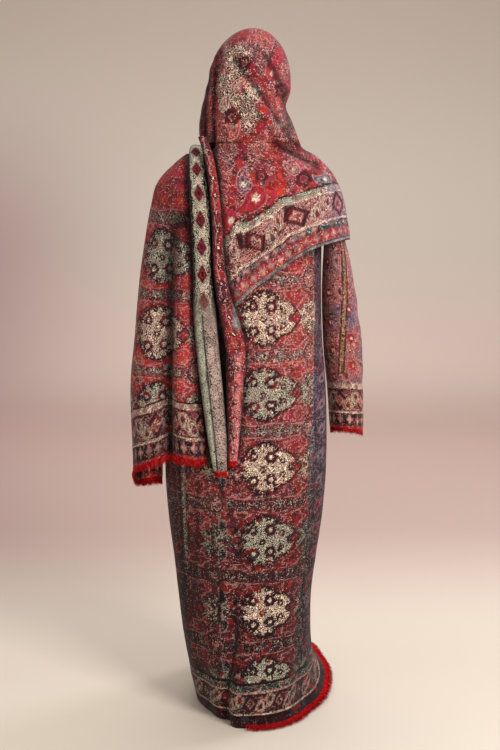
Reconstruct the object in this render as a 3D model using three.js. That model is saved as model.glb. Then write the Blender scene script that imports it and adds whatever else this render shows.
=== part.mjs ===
// A full-length abaya worn with its own head shawl, both cut from one red shawl cloth with red fringed ends.
// The robe is a back and a front panel with two set sleeves. The shawl covers the head, crosses the back to
// the right shoulder, and its left end falls over the left shoulder and arm in deep pleats.
// Everything is hollow cloth, held in the shape it has when worn. Millimetres, +Z up, +Y the way it faces.
// Heights in the tables are above the floor; the origin is at the base of the neck, where it is held up.
import * as THREE from "three";

const HOLD_HEIGHT = 1390;
const CLOTH = 1.8; // wall thickness of the woven shawl cloth
const SEAM_GAP = 0.4;

// Rows of numbers under column names.
function named(names, rows) {
  return rows.map((row) => Object.fromEntries(names.split(" ").map((name, n) => [name, row[n]])));
}

const FINISH = {
  robe: { color: 0x6b2530, roughness: 0.85, metalness: 0 },
  shawl: { color: 0x86303c, roughness: 0.85, metalness: 0 },
  fringe: { color: 0xc01218, roughness: 0.8, metalness: 0 },
};

// The robe's rings: where the ring reaches on each side, and the y of its side seams.
const ROBE_RINGS = [
  { z: 0, left: -140, right: 172, seam: 100, back: -153, front: 335 },
  { z: 60, left: -150, right: 158, seam: 60, back: -158, front: 290 },
  { z: 140, left: -160, right: 152, seam: 20, back: -160, front: 240 },
  { z: 200, left: -168, right: 150, seam: 5, back: -160, front: 215 },
  { z: 300, left: -178, right: 152, seam: -5, back: -158, front: 185 },
  { z: 400, left: -188, right: 163, seam: -10, back: -156, front: 165 },
  { z: 500, left: -200, right: 177, seam: -10, back: -156, front: 155 },
  { z: 620, left: -207, right: 186, seam: -10, back: -156, front: 150 },
  { z: 750, left: -200, right: 186, seam: -8, back: -152, front: 145 },
  { z: 850, left: -190, right: 182, seam: -8, back: -147, front: 140 },
  { z: 950, left: -178, right: 173, seam: -8, back: -142, front: 136 },
  { z: 1080, left: -169, right: 169.5, seam: -8, back: -135, front: 130 },
  { z: 1200, left: -170, right: 170, seam: -8, back: -130, front: 126 },
];
const ARMPIT = 1200;
const SHOULDER = { neckHalf: 75, neckZ: 1394, tipX: 160, tipZ: 1371.5, armpitCurve: 0.22 };
const NECKLINE = { back: 55, front: 70, backDrop: 8, frontDrop: 55 };

// Soft folds of the robe: the ring angle from the back's middle at the hem and at the top, the height where
// the fold fades in and out, its depth (plus stands out) and its width in degrees.
const ROBE_FOLDS = [
  { hemAngle: -48, topAngle: -50, low: -80, high: 760, depth: -8, width: 7 },
  { hemAngle: 52, topAngle: 62, low: -80, high: 820, depth: -7, width: 7 },
  { hemAngle: 118, topAngle: 122, low: -80, high: 980, depth: -14, width: 9 },
  { hemAngle: 150, topAngle: 156, low: -80, high: 1050, depth: 12, width: 10 },
  { hemAngle: 186, topAngle: 182, low: -80, high: 1100, depth: -15, width: 9 },
  { hemAngle: 214, topAngle: 208, low: -80, high: 1050, depth: 12, width: 10 },
  { hemAngle: 246, topAngle: 240, low: -80, high: 980, depth: -14, width: 9 },
];
// The deep crease behind, which swings to the left at the hem, with a low ridge along its right.
const BACK_CREASE = [
  { z: -80, angle: -33, depth: -19 },
  { z: 28, angle: -27, depth: -18 },
  { z: 130, angle: -18, depth: -15 },
  { z: 240, angle: -8.5, depth: -11 },
  { z: 330, angle: -4.5, depth: -8 },
  { z: 505, angle: -6.5, depth: -8 },
  { z: 620, angle: -18, depth: -7 },
  { z: 740, angle: -26, depth: 0 },
  { z: 900, angle: -30, depth: 0 },
];
const CREASE = { width: 4.6, ridge: 0.55, ridgeAway: 10, ridgeWidth: 7 };
// The hem spreads over the floor on the right and at the right front, and lifts in front of that.
const HEM_FLARES = [
  { angle: 92, width: 30, reach: 26, height: 70 },
  { angle: 128, width: 18, reach: 34, height: 80 },
];
const HEM_LIFT = { angle: 142, width: 40, height: 40 };

// Sleeve rings from armhole to cuff: the points nearest to and furthest from the body, the ring's middle and
// half depth front to back, and how much the ring's back edge rides above its front edge.
const RIGHT_SLEEVE = [
  { w: 0, inX: 170, inZ: 1200, outX: 160, outZ: 1371, y: -8, depth: 46, rise: 0 },
  { w: 0.08, inX: 177, inZ: 1190, outX: 188, outZ: 1330, y: -7, depth: 50, rise: 0 },
  { w: 0.16, inX: 177, inZ: 1178, outX: 206, outZ: 1282, y: -6, depth: 54, rise: 0 },
  { w: 0.26, inX: 176, inZ: 1150, outX: 220, outZ: 1225, y: -4, depth: 58, rise: 0 },
  { w: 0.38, inX: 174, inZ: 1100, outX: 240, outZ: 1130, y: 0, depth: 61, rise: 0 },
  { w: 0.5, inX: 174, inZ: 1035, outX: 257, outZ: 1045, y: 8, depth: 63, rise: 0 },
  { w: 0.65, inX: 180, inZ: 920, outX: 274, outZ: 930, y: 35, depth: 65, rise: 4 },
  { w: 0.8, inX: 193, inZ: 805, outX: 283, outZ: 808, y: 75, depth: 67, rise: 8 },
  { w: 1, inX: 203, inZ: 697, outX: 289, outZ: 690, y: 118, depth: 68, rise: 12 },
];
const LEFT_SLEEVE = [
  { w: 0, inX: -170, inZ: 1200, outX: -160, outZ: 1371, y: -8, depth: 46, rise: 0 },
  { w: 0.08, inX: -178, inZ: 1190, outX: -188, outZ: 1330, y: -7, depth: 49, rise: 0 },
  { w: 0.16, inX: -180, inZ: 1178, outX: -206, outZ: 1282, y: -6, depth: 51, rise: 0 },
  { w: 0.26, inX: -181, inZ: 1150, outX: -226, outZ: 1220, y: -4, depth: 53, rise: 0 },
  { w: 0.38, inX: -183, inZ: 1095, outX: -246, outZ: 1125, y: -3, depth: 54, rise: 0 },
  { w: 0.5, inX: -187, inZ: 1020, outX: -256, outZ: 1035, y: -4, depth: 55, rise: 0 },
  { w: 0.65, inX: -201, inZ: 895, outX: -266, outZ: 900, y: -5, depth: 55, rise: 4 },
  { w: 0.8, inX: -212, inZ: 765, outX: -269, outZ: 765, y: -6, depth: 55, rise: 10 },
  { w: 1, inX: -216, inZ: 597, outX: -268, outZ: 591, y: -8, depth: 54, rise: 16 },
];
const SLEEVE_BLEND = 0.2; // share of the sleeve over which the armhole's outline turns into a plain ring

// The shawl's rings round head, neck and shoulders. power is the ring's squareness: 2 is an ellipse.
const SHAWL_RINGS = [
  { z: 1000, left: -262, right: 250, back: -172, front: 144, power: 2.2 },
  { z: 1100, left: -256, right: 247, back: -169, front: 142, power: 2.2 },
  { z: 1180, left: -250, right: 239, back: -165, front: 139, power: 2.2 },
  { z: 1215, left: -243, right: 235, back: -161, front: 136, power: 2.2 },
  { z: 1270, left: -231, right: 223, back: -153, front: 130, power: 2.1 },
  { z: 1310, left: -220, right: 211, back: -145, front: 124, power: 2 },
  { z: 1340, left: -200, right: 196, back: -136, front: 118, power: 1.85 },
  { z: 1365, left: -171, right: 173, back: -126, front: 111, power: 1.75 },
  { z: 1385, left: -145, right: 148, back: -117, front: 105, power: 1.75 },
  { z: 1398, left: -127, right: 126, back: -111, front: 100, power: 1.85 },
  { z: 1412, left: -117, right: 116, back: -108, front: 96, power: 2 },
  { z: 1435, left: -118, right: 107, back: -106, front: 94, power: 2 },
  { z: 1462, left: -118, right: 97, back: -107, front: 95, power: 2 },
  { z: 1495, left: -112, right: 84, back: -110, front: 99, power: 2 },
  { z: 1530, left: -104, right: 93, back: -112, front: 106, power: 2 },
  { z: 1555, left: -99, right: 93, back: -112, front: 108, power: 2 },
  { z: 1675, left: -96, right: 88, back: -108, front: 104, power: 2 },
];
const RING_CENTRE_Y = -8;
const HEAD = { middleZ: 1550, halfHeight: 122 };
const NECK_Z = 1412;
const NECK_GAP = 1; // between the hood and the shoulder stretch

// The shawl's lower edge behind, at the right and in front, by the angle seen from above (270 is the back).
const SHAWL_EDGE = [
  { angle: 225, z: 1010 },
  { angle: 249, z: 1020 },
  { angle: 262, z: 1052 },
  { angle: 270, z: 1076 },
  { angle: 282, z: 1102 },
  { angle: 296, z: 1130 },
  { angle: 308, z: 1156 },
  { angle: 323, z: 1178 },
  { angle: 345, z: 1190 },
  { angle: 360, z: 1184 },
  { angle: 395, z: 1165 },
  { angle: 430, z: 1142 },
  { angle: 460, z: 1140 },
  { angle: 520, z: 1185 },
];
// Where the shoulder stretch of the shawl starts behind (at the pleats) and ends in front, by height.
const SHAWL_SPAN = [
  { z: 1000, start: 257, end: 505 },
  { z: 1040, start: 255.5, end: 505 },
  { z: 1130, start: 249.5, end: 506 },
  { z: 1250, start: 244, end: 508 },
  { z: 1330, start: 238.5, end: 510 },
  { z: 1370, start: 229, end: 513 },
  { z: 1398, start: 218.5, end: 516 },
  { z: 1412, start: 214.5, end: 517 },
];
// The front end slips under the shawl's left end.
const FRONT_TUCK = { from: 0.86, to: 0.93, depth: 6 };
// Folds seen on the back of the head and shoulder, as lines in the x-z plane.
const SHAWL_FOLDS = [
  { depth: -13, width: 5, line: [[-74, 1617], [-79, 1570], [-86, 1518], [-87, 1462], [-86, 1405]] },
  { depth: -10, width: 4.5, line: [[-102, 1532], [-105, 1490], [-104, 1440], [-102, 1405]] },
  { depth: 6, width: 10, line: [[-31, 1628], [-12, 1600], [10, 1572], [28, 1549], [42, 1520]] },
  { depth: -7, width: 6, line: [[-40, 1600], [-12, 1580], [12, 1556], [33, 1538], [44, 1510], [45, 1488]] },
  { depth: 10, width: 12, line: [[-20, 1532], [14, 1484], [46, 1448], [92, 1414], [146, 1386]] },
  { depth: -13, width: 8, line: [[28, 1418], [60, 1404], [94, 1395], [128, 1380], [158, 1362]] },
  { depth: -7, width: 7, line: [[50, 1392], [94, 1378], [130, 1366]] },
];
// The oval that the face looks out of, to the right of straight ahead.
const FACE = { angle: 57, halfAngle: 40, low: 1476, high: 1626, rounding: 0.3, fade: 0.8 };

// The shawl's left end over the shoulder and arm: ring sections, open towards the body. valley is the deep
// fold behind the arm.
const ARM_FALL = named(
  "z left middle centreY half power start end valley depth",
  [
    [575, -281, -163, -42, 122, 2.6, 303, 118, 252, 46],
    [700, -284, -163, -41, 124, 2.6, 299, 118, 252, 46],
    [850, -285, -158, -36, 127, 2.6, 290, 120, 250, 42],
    [955, -275, -135, -28, 133, 2.5, 276, 126, 242, 34],
    [1036, -268, -108, -20, 141, 2.4, 264, 131, 233, 25],
    [1130, -258, -60, -12, 149, 2.3, 247, 138, 222, 14],
    [1215, -243, -20, -8, 153, 2.2, 231, 143, 218, 6],
    [1270, -231, 0, -8, 147, 2.1, 223, 146, 215, 1],
    [1310, -221, 0, -8, 139, 2, 219, 149, 213, 0],
    [1340, -201, 0, -8, 130, 1.85, 213, 153, 210, 0],
    [1366, -173.4, 0, -8, 121, 1.75, 203, 157, 200, 0],
    [1384, -149.5, 0, -8, 115, 1.75, 190, 162, 190, 0],
  ],
);
const VALLEY_WIDTH = 8; // degrees
const FALL_TOP = 1384;
// Its lower edge, from the back (u 0) round the arm to the front (u 1).
const FALL_HEM = [
  { u: 0, z: 676 },
  { u: 0.25, z: 684 },
  { u: 0.36, z: 668 },
  { u: 0.55, z: 640 },
  { u: 0.66, z: 614 },
  { u: 0.8, z: 584 },
  { u: 1, z: 578 },
];
// Its back edge slips under the pleats: how deep, and over how many degrees.
const TUCK = { depth: 11, flat: 6, ramp: 7 };

// Hanging pleats behind the left shoulder: the path of a pleat's middle, its half width and its bulge.
const BORDER_PLEAT = [
  { x: -126, y: 24, z: 1392, half: 14, crest: 5 },
  { x: -126, y: -14, z: 1400, half: 15, crest: 7 },
  { x: -126, y: -58, z: 1385, half: 16, crest: 9 },
  { x: -122, y: -106, z: 1340, half: 20, crest: 13 },
  { x: -115, y: -134, z: 1270, half: 23, crest: 16 },
  { x: -111, y: -149, z: 1190, half: 22, crest: 17 },
  { x: -109, y: -155, z: 1110, half: 22, crest: 18 },
  { x: -105, y: -158, z: 1035, half: 26, crest: 19 },
  { x: -97, y: -162, z: 930, half: 27, crest: 20 },
  { x: -87, y: -164, z: 830, half: 26, crest: 20 },
  { x: -76, y: -165, z: 725, half: 23, crest: 19 },
  { x: -70, y: -165, z: 655, half: 17, crest: 16 },
];
const EDGE_PLEAT = [
  { x: -110, y: -76, z: 1424, half: 10, crest: 5 },
  { x: -97, y: -100, z: 1388, half: 11, crest: 8 },
  { x: -84, y: -142, z: 1325, half: 11, crest: 11 },
  { x: -76, y: -157, z: 1240, half: 12, crest: 12 },
  { x: -70, y: -170, z: 1130, half: 14, crest: 13 },
  { x: -60, y: -175, z: 1065, half: 17, crest: 14 },
  { x: -43, y: -176, z: 1000, half: 22, crest: 15 },
  { x: -33, y: -175, z: 935, half: 23, crest: 15 },
  { x: -35, y: -172, z: 850, half: 20, crest: 16 },
  { x: -37, y: -170, z: 760, half: 16, crest: 15 },
  { x: -41, y: -169, z: 680, half: 12, crest: 13 },
];

const FRINGE = { gap: 0.9, strip: 4, length: 16, thick: 1.6 };

const radians = (degrees) => (degrees * Math.PI) / 180;
const mix = (a, b, t) => a + (b - a) * t;
const smooth = (t) => {
  const c = Math.min(1, Math.max(0, t));
  return c * c * (3 - 2 * c);
};
const bump = (distance, width) => Math.exp(-0.5 * (distance / width) ** 2);
// An angle measured from a centre, between -180 and 180 degrees.
const away = (angle, centre) => ((angle - centre + 540) % 360) - 180;

// Reads every column of a table at a value of its key column, by a cubic through neighbouring rows.
function readTable(rows, key, value) {
  const last = rows.length - 1;
  let i = 0;
  while (i < last - 1 && value > rows[i + 1][key]) i += 1;
  const [from, to] = [rows[i], rows[i + 1]];
  const [before, after] = [rows[Math.max(0, i - 1)], rows[Math.min(last, i + 2)]];
  const span = to[key] - from[key];
  const t = (value - from[key]) / span;
  const read = {};
  for (const name of Object.keys(from)) {
    const startSlope = ((to[name] - before[name]) / (to[key] - before[key])) * span;
    const endSlope = ((after[name] - from[name]) / (after[key] - from[key])) * span;
    if (t < 0) read[name] = from[name] + startSlope * t;
    else if (t > 1) read[name] = to[name] + endSlope * (t - 1);
    else
      read[name] =
        (2 * t ** 3 - 3 * t ** 2 + 1) * from[name] +
        (t ** 3 - 2 * t ** 2 + t) * startSlope +
        (3 * t ** 2 - 2 * t ** 3) * to[name] +
        (t ** 3 - t ** 2) * endSlope;
  }
  return read;
}

// How far a superellipse reaches from its centre in one direction.
function reach(angle, alongX, alongY, power) {
  const c = Math.abs(Math.cos(angle)) / alongX;
  const s = Math.abs(Math.sin(angle)) / alongY;
  return (c ** power + s ** power) ** (-1 / power);
}

const evenly = (from, to, steps) => Array.from({ length: steps + 1 }, (_, i) => mix(from, to, i / steps));

// The outward normal of a surface at (u, v), from its two slopes. facing is 1 or -1.
function normalOf(surface, u, v, stepU, stepV, facing) {
  const alongU = surface(u + stepU, v).sub(surface(u - stepU, v));
  const alongV = surface(u, v + stepV).sub(surface(u, v - stepV));
  return alongU.cross(alongV).normalize().multiplyScalar(facing);
}

// A closed cloth wall on the grid us by vs: surface(u, v) is its inner face and the outer one lies CLOTH
// further out. Cells that skip() names are left open, and every free edge gets a rim.
function clothWall(surface, us, vs, { facing = 1, round = false, pole = false, skip = () => false } = {}) {
  const columns = us.length - (round ? 1 : 0);
  const stepU = (us.at(-1) - us[0]) * 1e-4;
  const stepV = (vs.at(-1) - vs[0]) * 1e-4;
  const points = [];
  const place = [[], []];
  vs.forEach((v, j) => {
    for (let i = 0; i < columns; i += 1) {
      const atPole = pole && j === 0;
      if (atPole && i > 0) {
        place.forEach((side) => side.push(side[0]));
        continue;
      }
      const inner = surface(us[i], v);
      const normal = atPole ? new THREE.Vector3(0, 0, 1) : normalOf(surface, us[i], v, stepU, stepV, facing);
      const outer = inner.clone().addScaledVector(normal, CLOTH);
      [inner, outer].forEach((point, side) => {
        place[side].push(points.length / 3);
        points.push(point.x, point.y, point.z);
      });
    }
  });
  const at = (side, i, j) => place[side][j * columns + (i % columns)];
  const wrap = (i) => (round ? (i + columns) % columns : i);
  const cells = us.length - 1;
  const open = (i, j) => j < 0 || j >= vs.length - 1 || (!round && (i < 0 || i >= cells)) || skip(wrap(i), j);
  const faces = [];
  const quad = (a, b, c, d) => {
    if (a !== b && b !== c && a !== c) faces.push(a, b, c);
    if (a !== c && c !== d && a !== d) faces.push(a, c, d);
  };
  for (let j = 0; j < vs.length - 1; j += 1) {
    for (let i = 0; i < cells; i += 1) {
      if (open(i, j)) continue;
      quad(at(1, i, j), at(1, i + 1, j), at(1, i + 1, j + 1), at(1, i, j + 1));
      quad(at(0, i, j), at(0, i, j + 1), at(0, i + 1, j + 1), at(0, i + 1, j));
      const atPole = pole && j === 0;
      if (open(i, j - 1) && !atPole) quad(at(0, i, j), at(0, i + 1, j), at(1, i + 1, j), at(1, i, j));
      if (open(i, j + 1)) quad(at(1, i, j + 1), at(1, i + 1, j + 1), at(0, i + 1, j + 1), at(0, i, j + 1));
      if (open(i - 1, j)) quad(at(1, i, j), at(1, i, j + 1), at(0, i, j + 1), at(0, i, j));
      if (open(i + 1, j)) quad(at(0, i + 1, j), at(0, i + 1, j + 1), at(1, i + 1, j + 1), at(1, i + 1, j));
    }
  }
  return solidGeometry(points, faces);
}

// A geometry from points and triangles, turned so that its faces point out.
function solidGeometry(points, faces) {
  const corner = (k) => new THREE.Vector3().fromArray(points, faces[k] * 3);
  let volume = 0;
  for (let k = 0; k < faces.length; k += 3) volume += corner(k).dot(corner(k + 1).cross(corner(k + 2)));
  for (let k = 0; volume < 0 && k < faces.length; k += 3) {
    [faces[k + 1], faces[k + 2]] = [faces[k + 2], faces[k + 1]];
  }
  return new THREE.BufferGeometry()
    .setAttribute("position", new THREE.Float32BufferAttribute(points, 3))
    .setIndex(faces);
}

// The soft folds of the robe at a ring angle (degrees from the back's middle, growing to the right).
function robeFold(angle, z) {
  let out = 0;
  for (const fold of ROBE_FOLDS) {
    const centre = mix(fold.hemAngle, fold.topAngle, z / fold.high);
    const fade = 1 - smooth((z - fold.low) / (fold.high - fold.low));
    out += fold.depth * fade * bump(away(angle, centre), fold.width);
  }
  for (const flare of HEM_FLARES) {
    const rise = Math.exp(-Math.max(0, z) / flare.height);
    out += flare.reach * rise * bump(away(angle, flare.angle), flare.width);
  }
  const crease = readTable(BACK_CREASE, "z", z);
  const beside = away(angle, crease.angle);
  const ridge = CREASE.ridge * bump(beside - CREASE.ridgeAway, CREASE.ridgeWidth);
  return out + crease.depth * (bump(beside, CREASE.width) - ridge);
}

// The robe's tube below the armpits. angle runs from the back's middle round to the right; z is the height.
function robeTube(angle, z) {
  const ring = readTable(ROBE_RINGS, "z", z);
  const a = radians(angle);
  const half = (ring.right - ring.left) / 2;
  const deep = Math.cos(a) > 0 ? ring.seam - ring.back : ring.front - ring.seam;
  const direction = new THREE.Vector3(Math.sin(a) / half, -Math.cos(a) / deep, 0).normalize();
  const lift = HEM_LIFT.height * bump(away(angle, HEM_LIFT.angle), HEM_LIFT.width) * Math.exp(-z / 200);
  const x = (ring.left + ring.right) / 2 + half * Math.sin(a);
  const y = ring.seam - deep * Math.cos(a);
  return new THREE.Vector3(x, y, z + lift).addScaledVector(direction, robeFold(angle, z));
}

// The robe over the shoulders: from the armpit ring (rise 0) to the shoulder seam and neckline (rise 1).
// side is -1 for the back and 1 for the front; across runs from -90 at the left to 90 at the right.
function robeShoulder(side, across, rise) {
  const t = Math.min(1, Math.max(0, rise));
  const tube = robeTube(side < 0 ? 0 : 180, ARMPIT);
  const ring = readTable(ROBE_RINGS, "z", ARMPIT);
  const narrow = Math.max(0, 1 - t / SHOULDER.armpitCurve) ** 2;
  const edge = mix(SHOULDER.tipX, ring.right, narrow);
  const spread = mix(1, 0.6, Math.sqrt(Math.min(1, t / SHOULDER.armpitCurve)));
  const x = (edge * Math.sin(radians(across * spread))) / Math.sin(radians(90 * spread));
  const deep = (tube.y - ring.seam) * Math.sqrt(Math.max(0, 1 - (x / ring.right) ** 2));
  const share = Math.min(1, Math.abs(x) / SHOULDER.neckHalf);
  const neck = Math.sqrt(1 - share ** 2);
  const slope = (SHOULDER.tipZ - SHOULDER.neckZ) / (SHOULDER.tipX - SHOULDER.neckHalf);
  const drop = side < 0 ? NECKLINE.backDrop : NECKLINE.frontDrop;
  const endZ = SHOULDER.neckZ + slope * Math.max(0, Math.abs(x) - SHOULDER.neckHalf) - drop * neck;
  const endY = side * (SEAM_GAP / 2 + (side < 0 ? NECKLINE.back : NECKLINE.front) * neck);
  const turn = (t * Math.PI) / 2;
  return new THREE.Vector3(
    x,
    ring.seam + endY + (deep - endY) * Math.cos(turn),
    ARMPIT + (endZ - ARMPIT) * Math.sin(turn),
  );
}

// One panel of the robe: v runs 0 to 1 up the tube and 1 to 2 over the shoulder.
function robePanel(side, across, v) {
  if (v > 1) return robeShoulder(side, across, v - 1);
  return robeTube(side < 0 ? across : 180 - across, v * ARMPIT);
}

// The armhole's outline, from the armpit (0) up the back to the shoulder (1) and down the front (2).
function armhole(hand, turn) {
  const [side, rise] = turn < 1 ? [-1, turn] : [1, 2 - turn];
  return robeShoulder(side, 90 * hand, rise);
}

// A sleeve. round runs 0 to 2 as the armhole's outline does; w runs from armhole (0) to cuff (1).
function sleeve(hand, rows, round, w) {
  const ring = readTable(rows, "w", w);
  const turn = round * Math.PI;
  const plain = new THREE.Vector3(
    mix(ring.inX, ring.outX, (1 - Math.cos(turn)) / 2),
    ring.y - ring.depth * Math.sin(turn),
    mix(ring.inZ, ring.outZ, (1 - Math.cos(turn)) / 2) + ring.rise * Math.sin(turn),
  );
  const start = armhole(hand, ((round % 2) + 2) % 2);
  start.x += hand * (SEAM_GAP + CLOTH * (1.5 + 0.5 * Math.cos(turn)));
  return start.lerp(plain, smooth(w / SLEEVE_BLEND));
}

// How far the folds of the shawl move a point at (x, z) on its back: a sum of soft ridges and troughs.
function shawlFold(x, z) {
  let out = 0;
  for (const { depth, width, line } of SHAWL_FOLDS) {
    let nearest = Infinity;
    for (let k = 0; k < line.length - 1; k += 1) {
      const [[x0, z0], [x1, z1]] = [line[k], line[k + 1]];
      const along = ((x - x0) * (x1 - x0) + (z - z0) * (z1 - z0)) / ((x1 - x0) ** 2 + (z1 - z0) ** 2);
      const t = Math.min(1, Math.max(0, along));
      nearest = Math.min(nearest, Math.hypot(x - mix(x0, x1, t), z - mix(z0, z1, t)));
    }
    out += depth * bump(nearest, width);
  }
  return out;
}

// The shawl round the head and shoulders at an angle seen from above and a height, drawn in by tuck.
function shawlRing(angle, z, tuck = 0) {
  const ring = readTable(SHAWL_RINGS, "z", z);
  const a = radians(angle);
  const above = Math.min(1, Math.max(0, (z - HEAD.middleZ) / HEAD.halfHeight));
  const dome = Math.sqrt(Math.max(0, 1 - above ** 2));
  const wide = Math.cos(a) > 0 ? ring.right : -ring.left;
  const deep = Math.sin(a) > 0 ? ring.front - RING_CENTRE_Y : RING_CENTRE_Y - ring.back;
  const out = reach(a, wide, deep, ring.power) * dome;
  const x = out * Math.cos(a);
  const behind = smooth(-Math.sin(a) * 3 - 0.2) * Math.min(1, dome * 2);
  const folded = out + shawlFold(x, z) * behind - tuck;
  return new THREE.Vector3(folded * Math.cos(a) + 8 * above, RING_CENTRE_Y + folded * Math.sin(a), z);
}

// The hood: v is 0 at the crown and 1 at the neck.
const CROWN_SHARE = 0.5;
function hood(angle, v) {
  const low = HEAD.middleZ + HEAD.halfHeight * Math.cos(radians(84));
  if (v < CROWN_SHARE) {
    const polar = radians(84) * Math.max(0, v / CROWN_SHARE);
    return shawlRing(angle, HEAD.middleZ + HEAD.halfHeight * Math.cos(polar));
  }
  return shawlRing(angle, mix(low, NECK_Z, (v - CROWN_SHARE) / (1 - CROWN_SHARE)));
}

// The height share v of a height on the hood's lower half or dome.
function hoodShare(z) {
  const low = HEAD.middleZ + HEAD.halfHeight * Math.cos(radians(84));
  if (z > low) return (CROWN_SHARE * Math.acos((z - HEAD.middleZ) / HEAD.halfHeight)) / radians(84);
  return CROWN_SHARE + ((low - z) / (low - NECK_Z)) * (1 - CROWN_SHARE);
}

// Rounds the square hole that is left in the hood's grid into the oval of the face.
function roundFace(angle, v) {
  const top = hoodShare(FACE.high);
  const bottom = hoodShare(FACE.low);
  const p = (angle - FACE.angle) / FACE.halfAngle;
  const q = (v - (top + bottom) / 2) / ((bottom - top) / 2);
  const square = Math.max(Math.abs(p), Math.abs(q), 1e-6);
  const corner = ((p / square) * (q / square)) ** 2;
  const pull = 1 - FACE.rounding * corner * Math.min(1, Math.max(0, (1 + FACE.fade - square) / FACE.fade));
  return [FACE.angle + p * pull * FACE.halfAngle, (top + bottom) / 2 + (q * pull * (bottom - top)) / 2];
}

// The shawl over back, right shoulder and chest. u runs from the pleats to the front, v down to the edge.
function shawlShoulder(u, v) {
  let z = NECK_Z - NECK_GAP;
  let angle = 0;
  for (let pass = 0; pass < 3; pass += 1) {
    const span = readTable(SHAWL_SPAN, "z", z);
    angle = mix(span.start, span.end, u);
    const edge = readTable(SHAWL_EDGE, "angle", angle).z;
    z = NECK_Z - NECK_GAP - (NECK_Z - edge) * Math.sign(v) * Math.abs(v) ** 1.4;
  }
  const tuck = FRONT_TUCK.depth * smooth((u - FRONT_TUCK.from) / (FRONT_TUCK.to - FRONT_TUCK.from));
  return shawlRing(angle, z, tuck);
}

// The shawl's left end over shoulder and arm. u runs from its back edge round the arm to the front.
function armFall(u, v) {
  const z = mix(readTable(FALL_HEM, "u", u).z, FALL_TOP, v);
  const ring = readTable(ARM_FALL, "z", z);
  const angle = mix(ring.start, ring.end, u);
  const a = radians(angle);
  const wide = ring.middle - ring.left;
  const groove = ring.depth * bump(angle - ring.valley, VALLEY_WIDTH);
  const tuck = TUCK.depth * smooth((TUCK.flat + TUCK.ramp - (ring.start - angle)) / TUCK.ramp);
  const out = reach(a, wide, ring.half, ring.power) - groove - tuck;
  return new THREE.Vector3(ring.middle + out * Math.cos(a), ring.centreY + out * Math.sin(a), z);
}

// A hanging pleat: across runs -1 to 1, k is the place along its table of rows.
function pleat(rows, across, k) {
  const numbered = rows.map((row, n) => ({ n, ...row }));
  const row = readTable(numbered, "n", k);
  const ahead = readTable(numbered, "n", k + 0.05);
  const back = readTable(numbered, "n", k - 0.05);
  const along = new THREE.Vector3(0, ahead.y - back.y, ahead.z - back.z).normalize();
  const bulge = new THREE.Vector3(0, along.z, -along.y);
  const turn = (across * Math.PI) / 2;
  return new THREE.Vector3(row.x + row.half * Math.sin(turn), row.y, row.z)
    .addScaledVector(bulge, row.crest * Math.cos(turn));
}

// A fringe: a narrow strip along an edge with a row of tapering locks. edge(s) gives the cloth's inner edge
// point, its outward normal and the direction in which the locks hang.
function fringe(edge, count, { round = false, length = FRINGE.length, gap = FRINGE.gap } = {}) {
  const stops = round ? count : count + 1;
  const points = [];
  const push = (p) => points.push(p.x, p.y, p.z) / 3 - 1;
  const rings = Array.from({ length: stops }, (_, i) => {
    const { point, normal, hang } = edge(i / count);
    const top = point.clone().addScaledVector(hang, gap);
    const low = top.clone().addScaledVector(hang, FRINGE.strip);
    const thick = normal.clone().multiplyScalar(FRINGE.thick);
    return [top, top.clone().add(thick), low.clone().add(thick), low].map(push);
  });
  const faces = [];
  const quad = (a, b, c, d) => faces.push(a, b, c, a, c, d);
  for (let i = 0; i < count; i += 1) {
    const [a, b] = [rings[i], rings[(i + 1) % stops]];
    quad(a[0], b[0], b[1], a[1]);
    quad(a[1], b[1], b[2], a[2]);
    quad(b[0], a[0], a[3], b[3]);
    const { point, normal, hang } = edge((i + 0.5) / count);
    const sway = Math.sin(i * 2.4) * 0.25;
    const tip = push(
      point
        .clone()
        .addScaledVector(hang, length * (1 - 0.2 * Math.abs(Math.sin(i * 1.7))))
        .addScaledVector(normal, FRINGE.thick * (0.5 + sway)),
    );
    faces.push(a[2], b[2], tip, b[2], b[3], tip, b[3], a[3], tip, a[3], a[2], tip);
  }
  if (!round) {
    const [first, last] = [rings[0], rings[stops - 1]];
    quad(first[0], first[1], first[2], first[3]);
    quad(last[0], last[3], last[2], last[1]);
  }
  return solidGeometry(points, faces);
}

// The edge of a wall whose columns are us, where v = end, for fringe(): s runs 0 to 1 along its straight
// chords, and the locks carry on in the direction that the cloth runs.
function edgeAlong(surface, us, end, stepV, facing) {
  const stepU = (us.at(-1) - us[0]) * 1e-4;
  const stops = us.map((u) => ({
    point: surface(u, end),
    normal: normalOf(surface, u, end, stepU, Math.abs(stepV) * 0.1, facing),
    hang: surface(u, end).sub(surface(u, end - stepV)).normalize(),
  }));
  const lengths = [0];
  for (let i = 1; i < stops.length; i += 1) {
    lengths.push(lengths[i - 1] + stops[i].point.distanceTo(stops[i - 1].point));
  }
  return (s) => {
    const far = s * lengths.at(-1);
    let i = 1;
    while (i < lengths.length - 1 && far > lengths[i]) i += 1;
    const t = (far - lengths[i - 1]) / (lengths[i] - lengths[i - 1]);
    const between = (name) => stops[i - 1][name].clone().lerp(stops[i][name], t);
    const [normal, hang] = [between("normal").normalize(), between("hang").normalize()];
    return { point: between("point"), normal, hang };
  };
}

const root = new THREE.Group();
root.name = "abaya";
root.position.set(0, 0, -HOLD_HEIGHT);
function piece(name, geometry, finish) {
  const mesh = new THREE.Mesh(geometry, new THREE.MeshStandardMaterial(FINISH[finish]));
  mesh.name = name;
  root.add(mesh);
}

// Rows of the robe: close together at the hem and over the shoulders.
const robeRows = [...[0, 20, 50, 90, 140, 200].map((z) => z / ARMPIT), ...evenly(270 / ARMPIT, 1, 13)];
const shoulderRows = [1.06, 1.13, 1.22, 1.4, 1.6, 1.8, 1 + 1 - 1e-3];
const sideGap = 0.12; // degrees that each panel keeps clear of the side seam
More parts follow.
